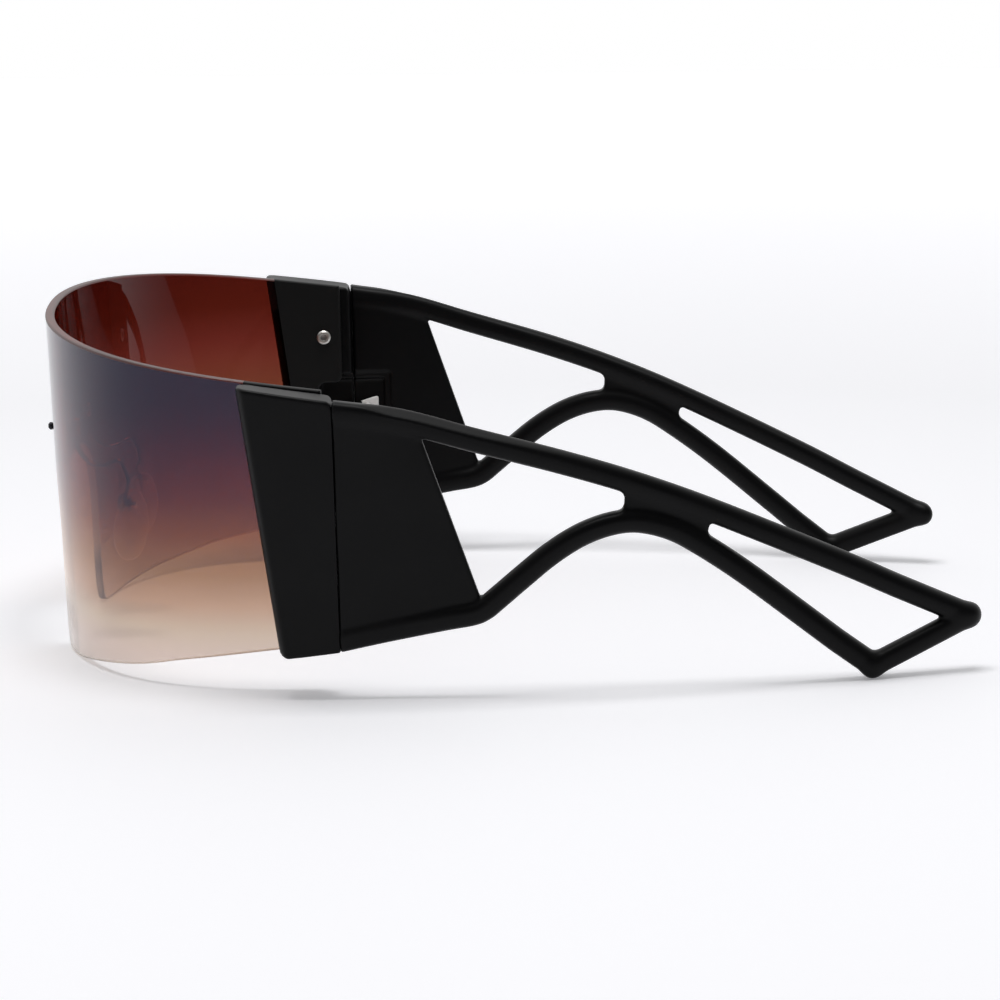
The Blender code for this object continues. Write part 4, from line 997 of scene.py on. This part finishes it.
def ring_faces(rows, sides, loop=False):
    """Quads between rows of points. Unless they form a loop, a fan closes each end to one more point."""
    row, k = np.meshgrid(np.arange(rows - (not loop)), np.arange(sides), indexing="ij")
    after, here, above = (k + 1) % sides, row * sides, (row + 1) % rows * sides
    quads = np.stack([here + k, here + after, above + after, above + k], -1).reshape(-1, 4)
    if loop:
        return quads
    k, last = np.arange(sides), (rows - 1) * sides
    around, pole, none = (k + 1) % sides, np.full(sides, rows * sides), np.full(sides, -1)
    low_fan = np.stack([around, k, pole, none], -1)
    high_fan = np.stack([last + k, last + around, pole + 1, none], -1)
    return np.vstack([quads, low_fan, high_fan])


def turned_piece(frame, corners, sides=48, loop=False):
    """x = r f cos a, y = r f sin a, with f = 1 + share (hexagon(a) - 1).

    A corner is (radius r, height, share, rounding).
    """
    rows = []
    chain = corners[-1:] + corners + corners[:1] if loop else corners
    for a, v, b in zip(chain, chain[1:], chain[2:]):
        bend = rounded_corner(a[:2], v[:2], b[:2], v[3], 5) if v[3] else [v[:2]]
        rows += [(*place, v[2]) for place in bend]
    radius, height, share = np.array(rows).T[:, :, None]
    angle = 2 * math.pi * np.arange(sides) / sides
    reach = radius * (1 + share * (hexagon(angle) - 1))
    grid = np.stack([reach * np.cos(angle), reach * np.sin(angle), height + 0 * angle], -1)
    grid = grid.reshape(-1, 3)
    if not loop:
        grid = np.vstack([grid, (0, 0, corners[0][1]), (0, 0, corners[-1][1])])
    return placed(frame, grid), ring_faces(len(rows), sides, loop)


def screw(shank, start, seat, head, tall, socket, deep):
    """Corners of a socket screw: shank and head radius, where it starts and seats, and its socket."""
    top = seat + tall
    corners = [
        (0, start, 0, 0), (shank, start, 0, 0.12), (shank, seat, 0, 0), (head, seat, 0, 0.06),
        (head, seat + 0.6 * tall, 0, 0.12), (0.8 * head, top, 0, 0.1),
    ]
    if socket:
        corners += [(socket + 0.1, top, 0.5, 0.05), (socket, top - deep, 1, 0.04)]
        corners += [(0, top - deep - 0.12, 0, 0)]
    else:
        corners += [(0.3 * head, top + 0.04, 0, 0), (0, top + 0.05, 0, 0)]
    return corners


# %% [markdown]
# ## Metal finishes
# The screws and the hinge are steel with a nickel plate, which is a warm light grey. The leaves are
# stamped and tumbled, so they are duller than the turned heads. The sockets are painted darker, as
# painted shade for their hollows. The arms are drawn wire, a little darker, and the two screws at
# the front of the lens are blackened.

# %% The metals


def metal_finish(name, colour, roughness, grain_mm, metallic=1.0):
    """A metal whose roughness wanders a little with a noise of this grain."""
    finish, tree, shader = new_finish(
        name, Base_Color=linear(colour), Metallic=metallic, Roughness=roughness
    )
    gloss = {"To Min": 0.7 * roughness, "To Max": 1.3 * roughness}
    noise_on(tree, shader, grain_mm, bump=(0.15, 0.01), gloss=gloss, noise={"Detail": 3.0})
    return finish


nickel = metal_finish("nickel_plated_steel", "#d8d6d1", 0.34, 0.35)
stamped = metal_finish("tumbled_nickel_leaf", "#efeeec", 0.6, 0.2, 0.5)
blackened = metal_finish("blackened_steel", "#2e2e31", 0.34, 0.3)
# painted shade: a darker metal on the faces inside the sockets, for the shade in their hollows
socket_painted_shade = metal_finish("painted_shade_socket", "#8f8a87", 0.5, 0.3)
polished = metal_finish("polished_nickel_head", "#eeece8", 0.12, 0.35)
drawn = metal_finish("drawn_nickel_wire", "#9a9794", 0.14, 0.35)

# %% [markdown]
# Two screws a side hold the lens on its end piece. The faces inside the sockets get the darker finish,
# which is painted shade.

# %% Screws of lens, hinge and nose
LENS_SEAT = LENS_WALL + SEAT_GAP
HEAD_TALL, SOCKET_REACH = 0.7, 0.72
lens_screw = screw(0.7, -3.4, LENS_SEAT, 1.45, HEAD_TALL, 0.62, 0.45)
for name, frame_in in zip(("upper_lens_screw", "lower_lens_screw"), SCREWS):
    points, faces = turned_piece(frame_in, lens_screw)
    across, upward, outward = ((points - frame_in[:3, 3]) @ frame_in[:3, :3])[faces[:, 0]].T
    socket = (np.hypot(across, upward) < SOCKET_REACH) & (outward > LENS_SEAT)
    socket &= outward < LENS_SEAT + HEAD_TALL - 0.02
    for piece in lay_pair(name, (points, faces), "front", nickel):
        more_finishes(piece, [socket_painted_shade], socket)
hinge_screw = turned_piece(HINGE, screw(0.6, -3.2, 2.65, 1.15, 0.45, 0.5, 0.3))
lay_pair("hinge_screw", hinge_screw, "front", nickel)

BORE, WASHER_WALL, EYE_WALL, NUT_WALL = 0.65, 0.4, 0.7, 1.0
EYE_NEAR = LENS_SEAT + WASHER_WALL + SEAT_GAP
NUT_NEAR = EYE_NEAR + EYE_WALL + SEAT_GAP
ARM_SHANK, ARM_HEAD, ARM_SCREW_END = 0.55, 0.75, -NUT_NEAR - 1.15
arm_screw = turned_piece(ARM, [
    (0, ARM_SCREW_END, 0, 0), (ARM_SHANK, ARM_SCREW_END, 0, 0.12), (ARM_SHANK, SEAT_GAP, 0, 0),
    (ARM_HEAD, SEAT_GAP, 0, 0.06), (ARM_HEAD, SEAT_GAP + 0.45, 0, 0.15),
    (0.4, SEAT_GAP + 0.78, 0, 0.2), (0, SEAT_GAP + 0.8, 0, 0),
])
lay_pair("arm_screw", arm_screw, "front", blackened)


def ring(radius, near, wall, share, edge):
    """A ring round the arm screw, with its bore and an outer face that may have six flats."""
    return turned_piece(ARM, [
        (BORE, -near, 0, 0.08), (BORE, -near - wall, 0, 0.08),
        (radius, -near - wall, share, edge), (radius, -near, share, edge),
    ], loop=True)


lay_pair("arm_nut", ring(1.5, NUT_NEAR, NUT_WALL, 1, 0.15), "front", nickel)

# %% [markdown]
# ## Hinge leaves
# Each leaf is stamped from a plate 1.2 mm thick. Its knuckles are curled round the screw, and two
# rivets, set from this side, hold it in the moulding. Its top and foot slant towards the rear, and a
# small notch keeps its corners clear of the other leaf's knuckles.

# %% Hinge leaves
LEAF_FACE, LEAF_WALL, LEAF_BORE, KNUCKLE = AXIS_INSET, 1.2, 0.65, 1.5
LEAF_SLANT, NOTCH_FROM, NOTCH_DEEP = 0.3, 3.3, 1.1
RIVET_RADIUS, RIVET_BACK, RIVET_MIDDLE, RIVET_HALF = 0.75, 3.05, 1.3, 1.45
GROOVE_OFF, GROOVE_HALF, GROOVE_DEEP = 0.05, 0.1, 0.12


def leaf_field(toward, spans, length, half):
    """Plate, arms and knuckles in the hinge's frame. spans are the heights that the knuckles fill."""

    def field(a, b, c):
        b = toward * b
        wall = np.abs(a - LEAF_FACE - LEAF_WALL / 2) - LEAF_WALL / 2
        plate_low = KNUCKLE + PART_GAP
        across = common(plate_low - NOTCH_DEEP * (np.abs(c) > NOTCH_FROM) - b, b - length, 0.3)
        slanted = (np.abs(c) - half + LEAF_SLANT * (length - b)) / math.hypot(1, LEAF_SLANT)
        body = common(common(across, common(slanted, np.abs(c) - half, 0.5), 0.6), wall, 0.2)
        for low, high in spans:
            tall = np.abs(c - (low + high) / 2) - (high - low) / 2
            arm = common(common(-b, b - plate_low - 0.5, 0.1), common(tall, wall, 0.2), 0.2)
            curl = common(np.hypot(a, b) - KNUCKLE, tall, 0.2)
            body = joined(body, joined(arm, curl, 0.25), 0.2)
        for up in (-half / 2, half / 2):
            away = np.hypot(b - RIVET_BACK, c - up)
            rivet = common(away - RIVET_RADIUS, np.abs(a - LEAF_FACE - RIVET_MIDDLE) - RIVET_HALF, 0.15)
            beside = np.abs(away - RIVET_RADIUS - GROOVE_OFF) - GROOVE_HALF
            groove = common(beside, a - LEAF_FACE - GROOVE_DEEP, 0.05)
            body = joined(common(body, -groove, 0.05), rivet, 0.03)
        return common(body, LEAF_BORE - np.hypot(a, b), 0.1)

    return field


block = (spaced(-1.9, 3.6, 0.14), spaced(-5.7, 5.7, 0.14), spaced(-4.9, 4.9, 0.14))
inner, low_half = KNUCKLE + SEAT_GAP, 2.5
for name, body, toward, spans, length, half in (
    ("hinge_rear_leaf", "temple", 1, [(-KNUCKLE, KNUCKLE)], 5.4, 4.5),
    ("hinge_front_leaf", "front", -1, [(-low_half, -inner), (inner, low_half)], 4.6, low_half),
):
    points, faces = skin(leaf_field(toward, spans, length, half), block)
    lay_pair(name, (placed(HINGE, points), faces), body, stamped)

# %% [markdown]
# ## Nose pads
# A wire arm is bolted behind the lens. It goes back and down, and its end is soldered to a small
# box. The pad's core has a tab that sits in the box on a tiny screw, so that the pad can rock and
# lie flat on the nose. The pad itself is clear silicone, moulded round the core.

# %% Wire arm with its eye and box
EYE_RADIUS, WIRE, TAB_RADIUS, TAB_HALF = 1.6, 0.5, 1.1, 0.6
BOX_RADIUS, BOX_HALF, BOX_FRONT, PAD_HOLE = 1.7, 1.6, 0.7, 0.45
WIRE_SHARES = (
    (0.10, 0.26), (0.33, 0.48), (0.58, 0.52), (0.87, 0.41), (0.98, 0.52), (1.06, 0.76), (1.04, 0.92),
)
eye_middle = -EYE_NEAR - EYE_WALL / 2
first, leave = placed(ARM, np.array([(0, -EYE_RADIUS + d, eye_middle) for d in (WIRE, -WIRE)]))
inset = BOX_RADIUS - WIRE / 2
last, above = placed(PAD, np.array([(inset, 0, WIRE), (inset, 0, BOX_RADIUS)]))
span = above - leave
bends = [leave + span * (back, back, down) for back, down in WIRE_SHARES]
wire_line = through([first, leave] + bends + [above, last], 6)


def arm_field(x, y, z):
    """The wire's round section, with small fillets of solder to the eye and to the box."""
    u, v, out = within(ARM, x, y, z)
    a, b, c = within(PAD, x, y, z)
    wire = line_distance(wire_line, x, y, z) - WIRE
    eye = common(np.hypot(u, v) - EYE_RADIUS, np.abs(out - eye_middle) - EYE_WALL / 2, 0.15)
    box = common(np.hypot(a, c) - BOX_RADIUS, np.abs(b) - BOX_HALF, 0.25)
    box = common(box, -a - BOX_FRONT, 0.2)
    body = joined(joined(wire, eye, 0.5), box, 0.6)
    slot = common(np.abs(b) - TAB_HALF - SEAT_GAP, a - TAB_RADIUS - SEAT_GAP, 0.1)
    hole = np.hypot(a, c) - PAD_HOLE
    body = common(common(body, -slot, 0.12), -hole, 0.08)
    return common(body, BORE - np.hypot(u, v), 0.08)


low, high = wire_line.min(axis=0), wire_line.max(axis=0)
low, high = np.minimum(low, PAD[:3, 3]) - 2.6, np.maximum(high, ARM[:3, 3]) + (2.6, 0.5, 2.6)
arm = skin(arm_field, [spaced(a, b, 0.2) for a, b in zip(low, high)])
lay_pair("nose_pad_arm", arm, "front", drawn)

along_axis = PAD @ frame_at((0, 0, 0), (0, 0, 1), (1, 0, 0), (0, 1, 0))
pad_screw = screw(0.4, -BOX_HALF, BOX_HALF + SEAT_GAP, 0.85, 0.5, 0.36, 0.2)
lay_pair("nose_pad_screw", turned_piece(along_axis, pad_screw, 32), "front", polished)

# %% [markdown]
# Several clear bodies inside each other would use up the renderer's light paths and come out dark.
# So pad, core and washer are see-through by alpha. The pad's rim, which is met at a slant, is pale
# and nearly opaque, and the pad glows a little: this is painted light, a painted highlight round the
# rim.

# %% Clear silicone and clear nylon
# painted light: a pale glow on the pad, strongest where its rim turns opaque
silicone, tree, shader = new_finish(
    "clear_silicone", Base_Color=linear("#f4eeeb"), Roughness=0.2, Alpha=0.3,
    Emission_Color=linear("#f4eeeb"), Emission_Strength=0.5,
)
facing = add_node(tree, "LayerWeight", {"Blend": 0.5})
skim = add_node(tree, "Math", {"operation": "POWER", 1: 2.0}, {0: facing.outputs["Facing"]})
painted_rim_light = add_node(tree, "MapRange", {"To Min": 0.02, "To Max": 0.9}, {"Value": skim.outputs[0]})
tree.links.new(painted_rim_light.outputs["Result"], shader.inputs["Alpha"])
noise_on(tree, shader, 1.6, bump=(0.1, 0.04))
clear_nylon, tree, shader = new_finish(
    "clear_nylon", Base_Color=linear("#e9e4e0"), Roughness=0.2, Alpha=0.08
)
noise_on(tree, shader, 0.3, gloss={"To Min": 0.06, "To Max": 0.16})

# %% [markdown]
# The pad is rows of points that grow from the middle of its flat back to the rim, and shrink again
# over its domed face. The core inside it is a skin over a formula, like the mouldings.

# %% Pad, core and washer
PAD_HALF_WIDTH, PAD_HALF_HEIGHT, PAD_DROP = 3.9, 7.0, 4.1
PAD_WALL, PAD_EDGE, PAD_STANDOFF = 2.4, 0.9, 1.3
CORE_HALF_WIDTH, CORE_HALF_HEIGHT, CORE_WALL, BACK_SHARE, EGG_TAPER = 2.1, 4.2, 0.6, 0.3, 0.12
PAD_MIDDLE = -PAD_STANDOFF - BACK_SHARE * (PAD_WALL - PAD_EDGE) - PAD_EDGE / 2
sides, rings, rim, RING_POWER, DOME_POWER = 64, 14, 6, 0.8, 2.4
angle = 2 * math.pi * np.arange(sides) / sides
share = np.append(np.linspace(0.0, 1.0, rings + 1)[1:] ** RING_POWER, np.ones(rim - 1))
turn = np.append(np.full(rings, -math.pi / 2), np.linspace(-math.pi / 2, 0, rim + 1)[1:-1])


def egg(reach):
    """An upright egg, narrower at its top: y = w cos a (1 - taper sin a), z = h sin a."""
    y = (PAD_HALF_WIDTH + reach) * np.cos(angle) * (1 - EGG_TAPER * np.sin(angle))
    return np.stack([y, (PAD_HALF_HEIGHT + reach) * np.sin(angle) - PAD_DROP], -1)


def pad_rows(front):
    """Rows from the middle out to the rim, on the back or the domed face, and round half the edge."""
    flat = share[:, None, None] * (egg(-PAD_EDGE / 2) + (0, PAD_DROP)) - (0, PAD_DROP)
    circle = np.stack([np.cos(angle), np.sin(angle)], -1)
    flat = flat + (PAD_EDGE / 2 * np.cos(turn))[:, None, None] * circle
    depth = (PAD_WALL - PAD_EDGE) * share**DOME_POWER
    back_x = -PAD_STANDOFF - BACK_SHARE * depth
    face_x = -PAD_STANDOFF - PAD_WALL + (1 - BACK_SHARE) * depth
    round_x = PAD_MIDDLE + (-1 if front else 1) * PAD_EDGE / 2 * -np.sin(turn)
    x = np.where(np.arange(len(share)) < rings, face_x if front else back_x, round_x)
    return np.concatenate([x[:, None, None] + 0 * flat[..., :1], flat], -1)


widest = np.concatenate([np.full((1, sides, 1), PAD_MIDDLE), egg(0.0)[None]], -1)
rows = np.concatenate([pad_rows(False), widest, pad_rows(True)[::-1]])
poles = np.array([(-PAD_STANDOFF, 0, -PAD_DROP), (-PAD_STANDOFF - PAD_WALL, 0, -PAD_DROP)])
grid = np.vstack([rows.reshape(-1, 3), poles])
faces = turned_back(ring_faces(len(rows), sides))
lay_pair("nose_pad", (placed(PAD, grid), faces), "nose_pad", silicone)


def core_field(a, b, c):
    """A thin egg-shaped plate with a half-round tab that has the hole for the pad's screw."""
    middle = -PAD_STANDOFF - PAD_WALL / 2
    up = (c + PAD_DROP) / CORE_HALF_HEIGHT
    oval = (np.hypot(b / (CORE_HALF_WIDTH * (1 - EGG_TAPER * up)), up) - 1) * CORE_HALF_WIDTH
    plate = common(oval, np.abs(a - middle) - CORE_WALL / 2, 0.15)
    stem = common(common(a, middle - a, 0.1), np.abs(c) - TAB_RADIUS, 0.1)
    tab = common(joined(np.hypot(a, c) - TAB_RADIUS, stem, 0.1), np.abs(b) - TAB_HALF, 0.15)
    return common(joined(plate, tab, 0.3), PAD_HOLE - np.hypot(a, c), 0.08)


block = (spaced(-3.2, 1.5, 0.15), spaced(-2.6, 2.6, 0.15), spaced(-8.8, 1.6, 0.15))
points, faces = skin(core_field, block)
lay_pair("nose_pad_core", (placed(PAD, points), faces), "nose_pad", clear_nylon)
washer = ring(1.7, LENS_SEAT, WASHER_WALL, 0, 0.1)
lay_pair("arm_washer", washer, "front", clear_nylon)

# %% [markdown]
# ## Floor, light and camera
# The photograph was taken on a pale table in soft studio light, from the wearer's left and a
# little above. The table glows a little where it is seen, and more away from the middle, so that it
# comes out as pale as in the photograph without more light on the sunglasses.

# %% Floor


def seen_by(tree, *kinds):
    """1 for light paths of any of these kinds, else 0."""
    path = add_node(tree, "LightPath")
    found = path.outputs[f"Is {kinds[0]} Ray"]
    for kind in kinds[1:]:
        either = {0: found, 1: path.outputs[f"Is {kind} Ray"]}
        found = add_node(tree, "Math", {"operation": "MAXIMUM"}, either).outputs[0]
    return found


TABLE_HALF_WIDTH, TABLE_HALF_DEPTH = 1.03, 2.0
table, tree, shader = new_finish(
    "table_top", Base_Color=linear("#f4f4f7"), Roughness=0.6, Specular_IOR_Level=0.1
)
seen = seen_by(tree, "Camera", "Glossy", "Transmission")
spot = add_node(tree, "TexCoord")
far = add_node(tree, "VectorMath", {"operation": "LENGTH"}, {0: spot.outputs["Object"]})
pale = add_node(
    tree, "MapRange", {"From Min": 0.28, "From Max": 0.95, "To Min": 0.23, "To Max": 0.72},
    {"Value": far.outputs["Value"]},
)
glow = add_node(tree, "Math", {"operation": "MULTIPLY"}, {0: seen, 1: pale.outputs["Result"]})
shader.inputs["Emission Color"].default_value = linear("#f8f8fc")
tree.links.new(glow.outputs[0], shader.inputs["Emission Strength"])
quarters = ((-1, -1), (1, -1), (1, 1), (-1, 1))
corners = [(x * TABLE_HALF_WIDTH, y * TABLE_HALF_DEPTH, 0) for x, y in quarters]
mesh = bpy.data.meshes.new("table_top")
mesh.from_pydata(corners, [], [(0, 1, 2, 3)])
mesh.materials.append(table)
sheet = new_object("table_top", mesh)
sheet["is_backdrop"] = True

# %% [markdown]
# The world is white where it is seen. What the surfaces mirror of it is brightest opposite the
# camera's side and falls off towards the camera and the rear, like a studio with its windows on one
# side, and it gives about half that light to matte surfaces. One soft box hangs straight above.

# %% World and lamp
world = bpy.data.worlds.new("studio")
bpy.context.scene.world = world
world.use_nodes = True
tree = world.node_tree
plain = tree.nodes["Background"]
plain.inputs["Color"].default_value = (1.0, 1.0, 1.0, 1.0)
way = add_node(tree, "TexCoord")
parts = add_node(tree, "SeparateXYZ", {}, {"Vector": way.outputs["Generated"]})
rear = add_node(tree, "Math", {"operation": "MAXIMUM", 1: 0.0}, {0: parts.outputs["Y"]})
aside = add_node(
    tree, "Math", {"operation": "MULTIPLY_ADD", 1: 0.6}, {0: rear.outputs[0], 2: parts.outputs["X"]}
)
studio = add_node(
    tree, "MapRange", {"From Min": -0.3, "From Max": 0.75, "To Min": 1.0, "To Max": 0.14},
    {"Value": aside.outputs[0]},
)
dim = add_node(tree, "MapRange", {"To Min": 1.0, "To Max": 0.55}, {"Value": seen_by(tree, "Diffuse")})
both = {0: studio.outputs["Result"], 1: dim.outputs["Result"]}
soft = add_node(tree, "Math", {"operation": "MULTIPLY"}, both)
levels = {"Value": seen_by(tree, "Camera", "Transmission"), "To Min": soft.outputs[0]}
level = add_node(tree, "MapRange", {"To Max": 1.0}, levels)
tree.links.new(level.outputs["Result"], plain.inputs["Strength"])

lamp = bpy.data.lights.new("overhead_box", "AREA")
lamp.shape, lamp.size, lamp.size_y, lamp.energy = "RECTANGLE", 0.36, 0.5, 5.2
place, target = Vector((0.10, -0.05, 1.0)), Vector((0.10, -0.05, 0.0))
holder = new_object("overhead_box", lamp)
holder.location = place
holder.rotation_euler = (target - place).to_track_quat("-Z", "Y").to_euler()

# %% [markdown]
# The camera stands where the photographer's did, as solved from the outlines: square to the
# wearer's left side, 11 degrees up and 0.95 m away, and tilted by half a degree.

# %% Camera
CAMERA_AZIMUTH, CAMERA_ELEVATION, CAMERA_ROLL = (math.radians(angle) for angle in (89.71, 11.07, -0.56))
CAMERA_TARGET, CAMERA_DISTANCE = Vector((0.0004, -0.0010, 0.0241)), 0.950
back = Vector((
    math.sin(CAMERA_AZIMUTH) * math.cos(CAMERA_ELEVATION),
    -math.cos(CAMERA_AZIMUTH) * math.cos(CAMERA_ELEVATION),
    math.sin(CAMERA_ELEVATION),
))
level_right = Vector((0, 0, 1)).cross(back).normalized()
level_up = back.cross(level_right)
right = level_right * math.cos(CAMERA_ROLL) + level_up * math.sin(CAMERA_ROLL)
lens_data = bpy.data.cameras.new("camera")
lens_data.sensor_width, lens_data.lens = 36.0, 172.8
camera = new_object("camera", lens_data)
camera.matrix_world = Matrix((right, back.cross(right), back)).transposed().to_4x4()
camera.location = CAMERA_TARGET + back * CAMERA_DISTANCE
bpy.context.scene.camera = camera
bpy.context.scene.view_settings.view_transform = "Standard"

# %% [markdown]
# Last, the size of this model is printed, so that a slip in scale would show.

# %% Size of this model
low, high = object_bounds()
print("visual size, mm:", [round(1000 * (b - a), 1) for a, b in zip(low, high)])
